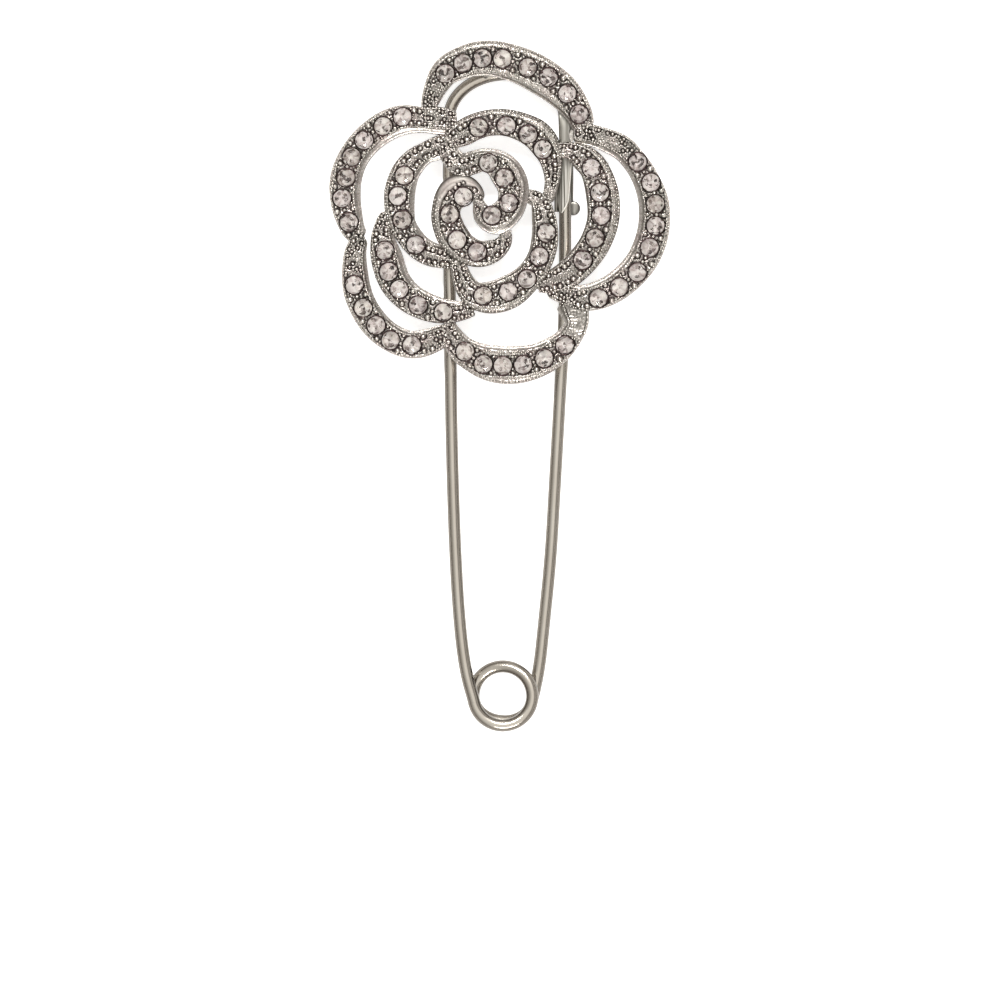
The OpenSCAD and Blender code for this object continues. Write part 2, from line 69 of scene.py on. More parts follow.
# Petal bands: place in shares of the rose's radius, half width as a share of
# half the nominal width and rim height as a share of the rose's height
BANDS = {
    "top": [
        (-0.38, 0.561, 0.47, 0.44), (-0.41, 0.632, 0.6, 0.44), (-0.334, 0.796, 0.93, 0.48),
        (-0.222, 0.866, 1.09, 0.5), (-0.07, 0.895, 1.18, 0.5), (0.091, 0.86, 1.23, 0.5), (0.228, 0.796, 1.27, 0.5),
        (0.363, 0.699, 1.18, 0.5), (0.457, 0.579, 0.93, 0.5), (0.492, 0.474, 0.73, 0.48)],
    "upper_left": [
        (-0.252, 0.515, 0.8, 0.6), (-0.351, 0.526, 0.93, 0.6), (-0.451, 0.532, 0.87, 0.59),
        (-0.562, 0.532, 1, 0.56), (-0.667, 0.496, 1.04, 0.53), (-0.772, 0.42, 1.03, 0.5),
        (-0.855, 0.316, 1.03, 0.5), (-0.901, 0.193, 1.07, 0.5), (-0.904, 0.064, 1.03, 0.52),
        (-0.872, -0.077, 0.87, 0.55), (-0.82, -0.17, 0.63, 0.55)],
    "left_inner": [
        (-0.263, 0.415, 0.67, 0.62), (-0.363, 0.368, 0.8, 0.6), (-0.436, 0.339, 0.73, 0.6),
        (-0.506, 0.286, 0.87, 0.62), (-0.559, 0.21, 0.97, 0.64), (-0.588, 0.093, 1.04, 0.66),
        (-0.582, -0.042, 0.97, 0.66), (-0.55, -0.118, 0.87, 0.66), (-0.483, -0.204, 0.85, 0.64),
        (-0.406, -0.253, 0.83, 0.62), (-0.305, -0.278, 0.7, 0.6), (-0.236, -0.289, 0.53, 0.6)],
    "lower_left_inner": [
        (-0.656, -0.006, 0.4, 0.56), (-0.679, -0.077, 0.6, 0.56), (-0.685, -0.17, 0.83, 0.58),
        (-0.661, -0.282, 1.07, 0.6), (-0.62, -0.404, 1.07, 0.62), (-0.55, -0.492, 1.02, 0.62),
        (-0.468, -0.545, 0.98, 0.62), (-0.369, -0.58, 0.89, 0.62), (-0.263, -0.589, 0.73, 0.62),
        (-0.152, -0.574, 0.53, 0.6)],
    "lower_left": [
        (-0.814, -0.147, 0.53, 0.45), (-0.849, -0.264, 0.77, 0.48), (-0.843, -0.428, 0.93, 0.5),
        (-0.808, -0.545, 0.95, 0.5), (-0.738, -0.656, 0.97, 0.5), (-0.644, -0.738, 0.95, 0.5),
        (-0.533, -0.782, 0.93, 0.5), (-0.43, -0.77, 0.9, 0.5), (-0.304, -0.715, 0.73, 0.48)],
    "bottom": [
        (-0.318, -0.652, 0.48, 0.465), (-0.246, -0.785, 0.87, 0.5), (-0.164, -0.849, 1.03, 0.5),
        (-0.047, -0.892, 1.24, 0.5), (0.088, -0.901, 1.28, 0.5), (0.222, -0.873, 1.15, 0.5),
        (0.337, -0.808, 1, 0.5), (0.41, -0.732, 0.83, 0.5), (0.447, -0.645, 0.84, 0.49),
        (0.417, -0.522, 1.17, 0.48)],
    "right": [
        (0.427, 0.45, 0.74, 0.455), (0.539, 0.441, 0.74, 0.47), (0.697, 0.38, 0.84, 0.5), (0.779, 0.301, 0.83, 0.5),
        (0.849, 0.193, 0.89, 0.5), (0.899, 0.052, 1.02, 0.5), (0.899, -0.106, 1.07, 0.5),
        (0.855, -0.246, 1.07, 0.5), (0.781, -0.355, 1.03, 0.52), (0.667, -0.451, 1, 0.54),
        (0.533, -0.504, 0.93, 0.56), (0.41, -0.498, 0.73, 0.56), (0.275, -0.463, 0.4, 0.56)],
    "right_inner": [
        (0.31, 0.356, 0.53, 0.6), (0.41, 0.351, 0.6, 0.6), (0.488, 0.309, 0.89, 0.62), (0.555, 0.237, 0.98, 0.64),
        (0.599, 0.099, 1.11, 0.66), (0.603, -0.053, 1.08, 0.66), (0.55, -0.2, 1.04, 0.66), (0.454, -0.323, 1, 0.64),
        (0.357, -0.393, 0.9, 0.62), (0.211, -0.44, 0.53, 0.6)],
    "inner_top": [
        (-0.304, 0.397, 0.53, 0.72), (-0.222, 0.45, 0.87, 0.72), (-0.146, 0.491, 0.9, 0.72),
        (-0.059, 0.515, 0.89, 0.7), (0.041, 0.515, 0.91, 0.7), (0.14, 0.485, 0.97, 0.7), (0.217, 0.441, 1.03, 0.7),
        (0.272, 0.368, 0.97, 0.7), (0.301, 0.28, 0.73, 0.68), (0.304, 0.169, 0.5, 0.66), (0.275, 0.046, 0.4, 0.66)],
    "heart": [
        (0.129, 0.099, 0.4, 0.7), (0.222, 0.058, 0.6, 0.74), (0.255, -0.036, 0.8, 0.78), (0.263, -0.159, 0.9, 0.8),
        (0.234, -0.282, 0.9, 0.8), (0.164, -0.388, 0.96, 0.8), (0.064, -0.469, 1.13, 0.8),
        (-0.047, -0.507, 1.09, 0.8), (-0.146, -0.492, 0.93, 0.78), (-0.208, -0.422, 0.73, 0.74),
        (-0.252, -0.287, 0.47, 0.7)],
    "curl_top": [
        (-0.316, 0.433, 0.53, 0.7), (-0.29, 0.327, 0.7, 0.74), (-0.228, 0.269, 0.8, 0.82),
        (-0.164, 0.279, 0.79, 0.9), (-0.1, 0.296, 0.78, 0.95), (-0.03, 0.28, 0.92, 0.98), (0.028, 0.231, 1.1, 1),
        (0.072, 0.153, 1.08, 1), (0.076, 0.073, 1, 1), (0.047, -0.001, 0.99, 1), (-0.023, -0.049, 1.04, 1),
        (-0.091, -0.027, 0.77, 0.99), (-0.124, 0.04, 0.42, 0.97), (-0.132, 0.108, 0.32, 0.95)],
    "curl_left": [
        (-0.127, 0.046, 0.37, 0.92), (-0.139, 0.087, 0.6, 0.93), (-0.171, 0.109, 0.89, 0.94),
        (-0.217, 0.118, 1.08, 0.94), (-0.263, 0.103, 1.13, 0.94), (-0.296, 0.064, 1.04, 0.93),
        (-0.313, 0.017, 0.97, 0.92), (-0.316, -0.036, 1, 0.91), (-0.301, -0.094, 1.04, 0.9),
        (-0.272, -0.153, 1.07, 0.9), (-0.214, -0.216, 0.99, 0.9), (-0.129, -0.252, 0.91, 0.9),
        (-0.047, -0.238, 0.8, 0.88), (0.018, -0.191, 0.57, 0.88), (0.044, -0.112, 0.33, 0.9)],
}
# Each petal: the side of its smooth wall (1 left of the way along it), that wall's
# width, what fills the channel before the first stone and after the last (rough is
# uneven metal), the length at the start where the outer rim is smooth too, and its
# stones: section number, side step toward the wall as a share of the half width
PETALS = {
    "top": (-1, 0.35, "pebbles", "pebbles", 0, (
        (2.1, 0.04), (3.02, 0.02), (3.78, -0.01), (4.5, -0.08), (5.47, -0.07), (6.32, -0.17), (7.18, -0.12),
        (8.09, 0.02))),
    "upper_left": (1, 0.75, "both", "grains", 0, (
        (3.06, -0.23), (4.13, -0.11), (5.16, -0.15), (6.05, -0.15), (6.98, -0.03), (7.9, -0.23), (8.88, -0.13))),
    "left_inner": (1, 0.62, "grains", "grains", 0, (
        (4.03, -0.02), (5.05, -0.13), (6.1, 0.08), (7.87, -0.06))),
    "lower_left_inner": (1, 0.66, "grains", "grains", 0, (
        (2.56, -0.02), (3.55, -0.14), (4.51, -0.06), (5.91, -0.13), (7.35, -0.08))),
    "lower_left": (1, 0.5, "pebbles", "both", 0, (
        (2.02, -0.15), (3.17, -0.05), (4.13, 0), (5.09, -0.17), (6.14, -0.02))),
    "bottom": (1, 0.62, "grains", "rough", 0, (
        (1.51, 0.01), (2.62, -0.17), (3.47, -0.04), (4.33, -0.03), (5.27, -0.04), (6.41, -0.12))),
    "right": (-1, 0.66, "pebbles", "both", 0, (
        (3.21, -0.16), (4.26, -0.23), (5.08, -0.07), (5.86, -0.08), (6.74, -0.05), (7.91, -0.2), (8.81, -0.13),
        (9.72, -0.19))),
    "right_inner": (-1, 0.22, "grains", "grains", 0, (
        (2.78, 0.13), (3.92, 0.15), (4.84, 0.18), (5.75, 0.17), (6.69, 0.04))),
    "inner_top": (-1, 0.2, "grains", "grains", 0, (
        (2.19, 0.12), (3.97, 0.22), (5.39, 0.29), (6.94, 0.28))),
    "heart": (-1, 0.4, "grains", "grains", 0, (
        (2.75, -0.07), (3.9, 0.14), (5.1, -0.02), (6.14, 0.06), (7.52, 0.12))),
    "curl_top": (1, 0.6, "grains", "pebbles", 0, (
        (4.46, -0.15), (6.34, -0.27), (8.42, -0.24), (10.44, -0.26))),
    "curl_left": (1, 0.3, "grains", "grains", 5.2, (
        (3.06, 0.35), (6.67, 0.25), (9.32, 0.06), (10.91, 0.13))),
}
# Grains along the smooth head of the curl: place and radius in mm
EXTRA = {"curl_left": ((-5.35, 23.75, 0.3), (-4.9, 24.15, 0.27), (-4.38, 24.3, 0.24), (-6.0, 23.1, 0.3),
                       (-6.35, 22.45, 0.26))}
# How far the coil's back layer sits inside its front one at the bottom
COIL_TUCK = 0.5
# Steps along a petal in mm, and points across its channel
GRID = 0.12
FLOOR_COLS = 20
# Length over which a petal's end is rounded, depth of its channel between the rims
# and radius of a rim's bead
END_ROUND, FLOOR_D, BEAD_R = 0.7, 0.17, 0.165
# Profiles across a petal: share of the strip's width and fall below the rim level,
# and for the wall how dark it is there, painted shade in lines that tones down its bright reflection
OUTER_RIM = ((0.03, 0.52), (0.12, 0.36), (0.24, 0.23), (0.38, 0.13), (0.54, 0.06), (0.7, 0.02), (0.84, 0.015),
             (0.94, 0.05))
INNER_RIM = ((0.08, 0.05), (0.25, 0.015), (0.55, 0.01), (0.9, 0.02))
SMOOTH_WALL = ((0.06, 0.06, 0.55), (0.2, 0.13, 0.3), (0.38, 0.19, 0.28), (0.55, 0.24, 0.42), (0.68, 0.25, 0.75),
               (0.78, 0.21, 0.35), (0.87, 0.2, 0.2), (0.94, 0.27, 0.4), (0.985, 0.45, 0.6))
# A stone's seat in the dressed metal, painted dark as the stone's shadow: radius, the two rings of points that are
# drawn to it, how far the painted shadow moves it to the lower right, and its groove's painted shade as a dark ring
SEAT_R, SEAT_IN, SEAT_OUT, SEAT_SHIFT = 1.18, 1.165, 1.215, (0.06, -0.07)
GROOVE_R, GROOVE_T = 1.145, 0.095
# Rounded edge of the tab: share of its radius and height
TAB_PROFILE = ((0.86, 0.0), (0.96, 0.03), (1, 0.09), (1, SHEET_T - 0.12), (0.95, SHEET_T - 0.04), (0.84, SHEET_T),
               (0.5, SHEET_T))
# Solder on the leg: share of the rose's radius, side step and share of the rim's
# height, and on the bow: direction from its centre
LEG_PADS = ((-0.69, 0.12, 0.5), (-0.27, 0.04, 0.6), (0.36, 0, 0.7), (0.53, 0, 0.6))
BOW_PADS = (112, 96, 80)
# Steps of the leg and the bow, how many of them are flattened at the bow's end, and
# the share of the tongue from which it is brushed, with painted streaks of reflection
LEG_STEPS, BOW_STEPS, FLAT_STEPS, BRUSHED_PAINTED_STREAKS_FROM = 60, 48, 17, 0.31
# Camera above the floor, width of the picture, and its middle below the origin
CAMERA_H, PICTURE_W, PICTURE_Y = 3.0, 0.12, -13.7


# ---- mesh helpers

def make(name, verts, faces, materials, smooth=True, attributes=None, face_materials=None):
    """Mesh object from points in mm; caps with many corners stay flat."""
    mesh = bpy.data.meshes.new(name)
    mesh.from_pydata([(x * MM, y * MM, z * MM) for x, y, z in verts], [], faces)
    for m in materials:
        mesh.materials.append(m)
    mesh.polygons.foreach_set("use_smooth", [smooth and len(f) < 9 for f in faces])
    if face_materials is not None:
        mesh.polygons.foreach_set("material_index", face_materials)
    for key, values in (attributes or {}).items():
        domain = "POINT" if len(values) == len(verts) else "FACE"
        mesh.attributes.new(key, "FLOAT", domain).data.foreach_set("value", np.asarray(values, np.float32))
    mesh.update()
    mesh.validate()
    obj = bpy.data.objects.new(name, mesh)
    bpy.context.scene.collection.objects.link(obj)
    return obj


def tube(rings, end_rings=False):
    """Points and faces of a closed skin through rings of equally many points. End
    rings keep the shading of a wire even up to its flat ends."""
    n = len(rings[0])

    def near(a, b):
        return [tuple(p + 0.02 * (q - p) for p, q in zip(u, v)) for u, v in zip(a, b)]
    if end_rings:
        rings = [rings[0], near(rings[0], rings[1])] + rings[1:-1] + [near(rings[-1], rings[-2]), rings[-1]]
    verts = [p for r in rings for p in r]
    faces = []
    for i in range(len(rings) - 1):
        for j in range(n):
            k = (j + 1) % n
            faces.append((i * n + j, i * n + k, (i + 1) * n + k, (i + 1) * n + j))
    faces.append(tuple(range(n - 1, -1, -1)))
    faces.append(tuple((len(rings) - 1) * n + j for j in range(n)))
    return verts, faces


def ring(centre, way, half_w, half_h, n=32, square=1.0):
    """Ring of a wire across its way; square under 1 flattens its sides."""
    way = np.asarray(way, float) / np.linalg.norm(way)
    across = np.cross(way, (0, 0, 1))
    across /= np.linalg.norm(across)
    high = np.cross(across, way)
    out = []
    for j in range(n):
        a = 2 * math.pi * j / n
        c, s = math.cos(a), math.sin(a)
        u = math.copysign(abs(c) ** square, c) * half_w
        v = math.copysign(abs(s) ** square, s) * half_h
        out.append(tuple(np.asarray(centre) - u * across + v * high))
    return out


def finer(points, faces):
    """A ball with each of its triangles split into four."""
    p, out, mid = list(points), [], {}

    def half(a, b):
        key = (min(a, b), max(a, b))
        if key not in mid:
            p.append(tuple((Vector(p[a]) + Vector(p[b])).normalized()))
            mid[key] = len(p) - 1
        return mid[key]
    for a, b, c in faces:
        ab, bc, ca = half(a, b), half(b, c), half(c, a)
        out += [(a, ab, ca), (ab, b, bc), (ca, bc, c), (ab, bc, ca)]
    return p, out


BALL_P, BALL_F = finer([(1, 0, 0), (-1, 0, 0), (0, 1, 0), (0, -1, 0), (0, 0, 1), (0, 0, -1)],
                       [(0, 2, 4), (2, 1, 4), (1, 3, 4), (3, 0, 4), (2, 0, 5), (1, 2, 5), (3, 1, 5), (0, 3, 5)])
FINE_P, FINE_F = finer(BALL_P, BALL_F)


# ---- petal bands

def along(rows, s):
    """Values on a smooth curve through the rows of a table."""
    rows = np.asarray(rows, float)
    n = len(rows)
    ext = np.vstack([2 * rows[0] - rows[1], rows, 2 * rows[-1] - rows[-2], 3 * rows[-1] - 2 * rows[-2]])
    s = np.atleast_1d(np.asarray(s, float))
    i = np.clip(np.floor(s).astype(int), 0, n - 2)
    t = (s - i)[:, None]
    a, b, c, d = ext[i], ext[i + 1], ext[i + 2], ext[i + 3]
    return 0.5 * (2 * b + (c - a) * t + (2 * a - 5 * b + 4 * c - d) * t ** 2 + (3 * b - a - 3 * c + d) * t ** 3)


def heading(rows, s):
    """Direction of the way along a table's first two columns."""
    d = (along(rows, np.asarray(s) + 0.02) - along(rows, np.asarray(s) - 0.02))[:, :2]
    return d / np.linalg.norm(d, axis=1)[:, None]


class Path:
    """A petal's middle line, sampled at equal steps of length."""

    def __init__(self, name):
        self.name = name
        self.rows = BANDS[name]
        self.side, self.wall, self.first, self.last, self.plain, self.seats = PETALS[name]
        s = np.linspace(0, len(self.rows) - 1, 1200)
        p = along(self.rows, s)[:, :2] * ROSE_R
        self.length = np.concatenate([[0], np.cumsum(np.linalg.norm(np.diff(p, axis=0), axis=1))])
        self.total, self.s = self.length[-1], s
        self.seat_l = [self.l_at(seat[0]) for seat in self.seats]

    def s_at(self, l):
        return np.interp(l, self.length, self.s)

    def l_at(self, s):
        return np.interp(s, self.s, self.length)

    def at(self, l, step):
        """Point at side step from the middle line, with half width and rim level there."""
        s = self.s_at(np.atleast_1d(l))
        q = along(self.rows, s)
        go = heading(self.rows, s)
        x = ROSE_R * q[:, 0] - self.side * step * go[:, 1]
        y = ROSE_Y + ROSE_R * q[:, 1] + self.side * step * go[:, 0]
        return x, y, BAND_W / 2 * q[:, 2], BACK_Z + ROSE_H * q[:, 3]

    def stones(self):
        """Centre of each stone at the lower edge of its girdle, and its turn."""
        out = []
        for place, share in self.seats:
            q = along(self.rows, place)[0]
            go = heading(self.rows, [place])[0]
            step = self.side * share * BAND_W / 2 * q[2]
            out.append((ROSE_R * q[0] - step * go[1], ROSE_Y + ROSE_R * q[1] + step * go[0],
                        BACK_Z + ROSE_H * q[3] - CHANNEL_D + PERCH_H, math.atan2(go[1], go[0])))
        return out

    def channel(self, l):
        """Outer and inner edge of the channel beside the middle line, and the scale of its rims."""
        s = self.s_at(np.atleast_1d(l))
        h = BAND_W / 2 * along(self.rows, s)[:, 2]
        k = np.minimum(1, h / 1.5)
        line = np.interp(l, self.seat_l, [seat[1] for seat in self.seats]) * h
        outer = np.maximum(-h + 0.34 * k, line - 1.16 * k)
        inner = np.minimum(h - (0.8 * self.wall + 0.24) * k, line + 1.16 * k)
        return outer, np.maximum(inner, outer + 0.3 * k), h, k


def smooth(x):
    x = np.clip(x, 0, 1)
    return x * x * (3 - 2 * x)


def lumps(x, y, scale):
    """Uneven cast surface, from -1 to 1."""
    x, y = x * scale, y * scale
    a = np.sin(x * 5.1 + np.sin(y * 4.3) * 2.1) * np.sin(y * 5.7 + np.sin(x * 3.9) * 1.9)
    b = np.sin(x * 9.7 + 1.3 + np.sin(y * 8.9)) * np.sin(y * 10.3 + 0.7 + np.sin(x * 8.1))
    return 0.6 * a + 0.4 * b


def end_shrink(l, h, total):
    """Share of a petal's width that is left near its rounded ends."""
    reach = np.minimum(END_ROUND, 0.8 * h)
    return np.sqrt(np.clip(1 - (1 - np.clip(np.minimum(l, total - l) / reach, 0, 1)) ** 2, 0.12, 1))


def band_piece(name, metal):
    """A petal with its rims, beads, grains, smooth wall and seats."""
    path = Path(name)
    stones = path.stones()
    total = path.total
    n = int(total / GRID) + 1
    l = np.linspace(0, total, n)
    x0, y0, _, top = path.at(l, 0)
    outer, inner, h, k = path.channel(l)
    go = heading(path.rows, path.s_at(l))
    nx, ny = -path.side * go[:, 1], path.side * go[:, 0]
    low = np.maximum(BACK_Z, top - BAND_T)
    high = top - low
    shrink = end_shrink(l, h, total)
    depth = FLOOR_D * smooth((np.minimum(l, total - l) - 0.25) / 0.4)
    plain = smooth((path.plain - l) / 0.8) if path.plain else np.zeros(n)
    cols, zs, rec = [], [], []

    # A column: side step, height, and how dark it is there, as patina and painted shade
    def col(v, z, r):
        cols.append(v * shrink)
        zs.append(z + np.zeros(n))
        rec.append(np.full(n, r))

    # Outer side and rim
    col(-h + 0.07 * k, low, 0.3)
    col(-h, low + 0.12 * high, 0.2)
    col(-h, low + 0.4 * high, 0.1)
    rim = outer + h
    for t, fall in OUTER_RIM:
        col(-h + t * rim, top - fall * k, 0.32 if t < 0.9 else 0.45)
    floor_from = len(cols)
    for j in range(FLOOR_COLS):
        t = j / (FLOOR_COLS - 1)
        col(outer + (inner - outer) * t, top - depth * (0.75 if j in (0, FLOOR_COLS - 1) else 1), 0.55)
    floor_to = len(cols)
    # Inner rim and the smooth wall with its lip
    wall = np.minimum(path.wall * k, 0.8 * (h - inner))
    rim = h - inner - wall
    for t, fall in INNER_RIM:
        col(inner + t * rim, top - fall * k, 0.45 if t < 0.1 else 0.32)
    for t, fall, r in SMOOTH_WALL:
        col(h - wall + t * wall, top - fall * k, r)
    col(h, low + 0.35 * high, 0.15)
    col(h - 0.03 * k, low + 0.06, 0.3)
    col(h - 0.09 * k, low, 0.3)
    col(0.3 * h, low, 0.3)
    col(-0.4 * h, low, 0.3)
    V, Z, R = np.array(cols), np.array(zs), np.array(rec)
    m = len(cols)
    Z = Z - 0.12 * (1 - shrink)[None, :] ** 2 * (Z > low + 0.1)
    X = x0[None, :] + V * nx[None, :]
    Y = y0[None, :] + V * ny[None, :]
    upper = np.zeros((m, n), bool)
    upper[3:m - 5] = True
    rough = np.zeros((m, n))
    rough[3:floor_from] = 0.035
    rough[floor_from:floor_to] = 0.06
    rough[floor_to:floor_to + 4] = 0.03
    rough = rough * (1 - 0.6 * plain)[None, :]
    soft = np.zeros((m, n))
    soft[3:floor_from] = plain
    # Dark lines along a plain rim: painted shade that dulls its bright reflection
    R[4:floor_from:3] += 0.35 * plain
    if path.last == "rough":
        bare = smooth((l - path.seat_l[-1] - 1.1) / 0.5)
        rough[floor_from:floor_to] += 0.05 * bare
        R[floor_from:floor_to] += bare * 0.25 * np.sin(7 * X + 9 * lumps(X, Y, 0.6))[floor_from:floor_to]
    Z = Z + rough * lumps(X, Y, 1.7)
    # Painted shade: dark rings round the grains, and the seats of the stones painted dark as their shadow
    grains = place_grains(path, stones)
    for gx, gy, gz, gr in grains:
        d = np.hypot(X - gx, Y - gy)
        ring_dark = smooth(1 - np.abs(d - gr - 0.03) / 0.13) * (1.0 if gr > 0.2 else 0.42)
        R = np.maximum(R, np.where(upper, ring_dark, 0))
        Z = Z - np.where(upper, 0.1 * ring_dark * (gr > 0.2), 0)
    for sx, sy, sz, _ in stones:
        cx, cy = sx + SEAT_SHIFT[0], sy + SEAT_SHIFT[1]
        d = np.maximum(np.hypot(X - cx, Y - cy), 1e-6)
        cone = sz - 0.2 - 1.15 * PAVILION_H * (1 - np.minimum(d, STONE_R) / STONE_R)
        inside = upper & (d < SEAT_R)
        edge = upper & (d >= SEAT_R) & (d < SEAT_R + 0.09)
        snap_in = inside & (d > SEAT_R - 0.09)
        Z = np.where(inside, np.minimum(Z, cone), Z)
        R = np.where(inside, 1.0, R)
        R = np.where(edge, np.maximum(R, 0.55), R)
        for mask, r in ((snap_in, SEAT_IN), (edge, SEAT_OUT)):
            X = np.where(mask, cx + (X - cx) / d * r, X)
            Y = np.where(mask, cy + (Y - cy) / d * r, Y)
    rings = [[(X[j, i], Y[j, i], Z[j, i]) for j in range(m)] for i in range(n)]
    if path.side > 0:
        rings = [r[::-1] for r in rings]
        R = R[::-1]
        soft = soft[::-1]
    verts, faces = tube(rings)
    # How dark each point is: patina and painted shade
    patina_and_shade = R.T.reshape(-1).tolist()
    milgrain(path, stones, total, verts, faces, patina_and_shade)
    # A dark ring round each stone: painted shade of the gap at its edge
    for sx, sy, sz, _ in stones:
        rim = sz + CHANNEL_D - PERCH_H
        add_ring(verts, faces, patina_and_shade, (sx + 0.05, sy - 0.06, rim), GROOVE_R, GROOVE_T, 28)
    for gx, gy, gz, gr in grains:
        fine = gr > 0.2
        # A fine grain gets a dark ring at its foot: painted shade
        if fine:
            add_ring(verts, faces, patina_and_shade, (gx, gy, gz + 0.02), gr * 0.98, 0.07, 16)
        ball = (FINE_P, FINE_F) if fine else (BALL_P, BALL_F)
        add_ball(verts, faces, patina_and_shade, (gx, gy, gz), gr, *ball, 0.03)
    soft = soft.T.reshape(-1).tolist()
    soft += [0.0] * (len(verts) - len(soft))
    obj = make("petal_" + name, verts, faces, [metal], attributes={"patina_and_shade": patina_and_shade, "soft": soft})
    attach(obj, "frame")


def milgrain(path, stones, total, verts, faces, patina_and_shade):
    """Irregular rows of small beads over both rims."""
    for part in ("outer", "inner"):
        most = 4 if part == "outer" else 2
        for row in range(most):
            l = 0.3 + 0.1 * row
            while l < total - 0.3:
                outer, inner, h, k = (v[0] for v in path.channel(l))
                if part == "outer":
                    wide, start, spacing = outer + h, -h, 0.33
                else:
                    wall = min(path.wall * k, 0.8 * (h - inner))
                    wide, start, spacing = h - inner - wall, inner, 0.31
                count = min(most, max(1, round(wide / spacing)))
                shrink = float(end_shrink(l, h, total))
                pitch = 0.31 + rng.uniform(-0.03, 0.07)
                if row < count and not (part == "outer" and l < path.plain):
                    t = (row + 0.55) / count
                    step = (start + wide * (0.06 + 0.84 * t) + rng.uniform(-0.05, 0.05)) * shrink
                    x, y, _, top = (v[0] for v in path.at(l + rng.uniform(-0.05, 0.05), step))
                    fall = 0.42 * (1 - t) ** 2.2 * k if part == "outer" else 0.01
                    if not any(math.hypot(x - q[0], y - q[1]) < 1.24 for q in stones):
                        r = BEAD_R * k ** 0.5 * rng.uniform(0.7, 1.2)
                        z = top - fall - 0.01 - 0.12 * (1 - shrink) ** 2
                        add_ball(verts, faces, patina_and_shade, (x, y, z), r, BALL_P, BALL_F, 0.0)
                l += pitch


def add_ball(verts, faces, patina_and_shade, centre, r, points, template, level):
    """Ball of metal, with painted shade on its underside."""
    base = len(verts)
    for p in points:
        verts.append((centre[0] + r * p[0], centre[1] + r * p[1], centre[2] + r * p[2]))
        patina_and_shade.append(level + (0.6 if p[2] < -0.3 else 0.0))
    faces.extend(tuple(base + i for i in f) for f in template)


def add_ring(verts, faces, patina_and_shade, centre, radius, thick, n):
    """Painted shade of the groove round a stone or grain: a thin closed ring of the darkest metal."""
    base = len(verts)
    m = 5
    for i in range(n):
        a = 2 * math.pi * i / n
        for j in range(m):
            b = 2 * math.pi * j / m
            r = radius + thick * math.cos(b)
            verts.append((centre[0] + r * math.cos(a), centre[1] + r * math.sin(a), centre[2] + thick * math.sin(b)))
            patina_and_shade.append(1.2)
    for i in range(n):
        for j in range(m):
            i1, j1 = (i + 1) % n, (j + 1) % m
            faces.append((base + i * m + j, base + i1 * m + j, base + i1 * m + j1, base + i * m + j1))


def place_grains(path, stones):
    """Round grains: one on each side between two stones, and rows of them, or fine
    pebbles, where the channel has no stones."""
    out = []
    ls = path.seat_l
    total = path.total

    def put(l, step, r, lift):
        x, y, _, top = (v[0] for v in path.at(l, step))
        if any(math.hypot(x - q[0], y - q[1]) < STONE_R + 0.8 * r for q in stones):
            return
        if any(math.hypot(x - g[0], y - g[1]) < 0.85 * (r + g[3]) for g in out):
            return
        out.append((x, y, top - FLOOR_D + lift * r, r))

    def limits(l):
        outer, inner, _, k = (v[0] for v in path.channel(l))
        return outer, inner, k

    for x, y, r in EXTRA.get(path.name, ()):
        out.append((x, y, BACK_Z + 0.9 * ROSE_H - 0.02, r))
    for a, b in zip(ls, ls[1:]):
        mid = (a + b) / 2
        low, high = limits(mid)[:2]
        gap = b - a - 2 * STONE_R
        put(mid + rng.uniform(-0.08, 0.08), low + 0.2, min(0.38, 0.27 + 0.2 * gap) * rng.uniform(0.92, 1.05), 0.2)
        put(mid + rng.uniform(-0.08, 0.08), high - 0.15, min(0.34, 0.2 + 0.2 * gap) * rng.uniform(0.85, 1.05), 0.2)
        for q in (-0.36, 0.36, 0, -0.7, 0.7):
            put(mid + q, low + 0.05 + abs(q) * 0.2, 0.19, 0.4)
            put(mid + q, high - 0.05 - abs(q) * 0.2, 0.17, 0.4)
            put(mid + 0.8 * q, (low + high) / 2 + rng.uniform(-0.1, 0.1), 0.24, 0.3)
    for kind, start, stop, sign in ((path.first, ls[0] - STONE_R, 0.35, -1),
                                    (path.last, ls[-1] + STONE_R, total - 0.35, 1)):
        length = abs(stop - start)
        done = 0.0
        if kind in ("grains", "both"):
            reach = length if kind == "grains" else min(length, 1.5)
            q = 0
            while done < reach:
                l = start + sign * (done + 0.22)
                low, high, k = limits(l)
                r = 0.36 * min(1, k * 1.02)
                width = high - low
                if width > 3.4 * r:
                    shift = 0.15 if q % 2 else 0
                    put(l + shift, low + 0.7 * r, r * rng.uniform(0.8, 1.05), 0.3)
                    put(l + 0.3 - shift, high - 0.7 * r, r * rng.uniform(0.7, 1.0), 0.3)
                else:
                    put(l, (low + high) / 2 + rng.uniform(-0.08, 0.08), min(r, 0.45 * width) * rng.uniform(0.9, 1.08),
                        0.3)
                for side in (low, high, (low + high) / 2):
                    put(l + rng.uniform(0.1, 0.5), side + rng.uniform(-0.06, 0.06), 0.16, 0.5)
                done += 2.2 * r
                q += 1
        if kind in ("pebbles", "both"):
            while done < length:
                l = start + sign * done
                low, high = limits(l)[:2]
                count = max(1, int((high - low) / 0.36))
                for c in range(count):
                    step = low + (high - low) * (c + 0.5) / count
                    put(l + rng.uniform(-0.08, 0.08), step + rng.uniform(-0.06, 0.06), rng.uniform(0.15, 0.23), 0.7)
                done += 0.33
    # Fine filling of what is still bare, except at a rough end
    for l in np.arange(0.35, total - 0.3, 0.29):
        if path.last == "rough" and l > ls[-1] + 1.2 * STONE_R:
            continue
        low, high = limits(l)[:2]
        shrink = float(end_shrink(l, path.channel(l)[2][0], total))
        count = max(1, int((high - low) / 0.29))
        for c in range(count):
            step = low + (high - low) * (c + 0.5) / count
            put(l + rng.uniform(-0.07, 0.07), (step + rng.uniform(-0.06, 0.06)) * shrink, rng.uniform(0.13, 0.18), 0.55)
    return out


# ---- stones

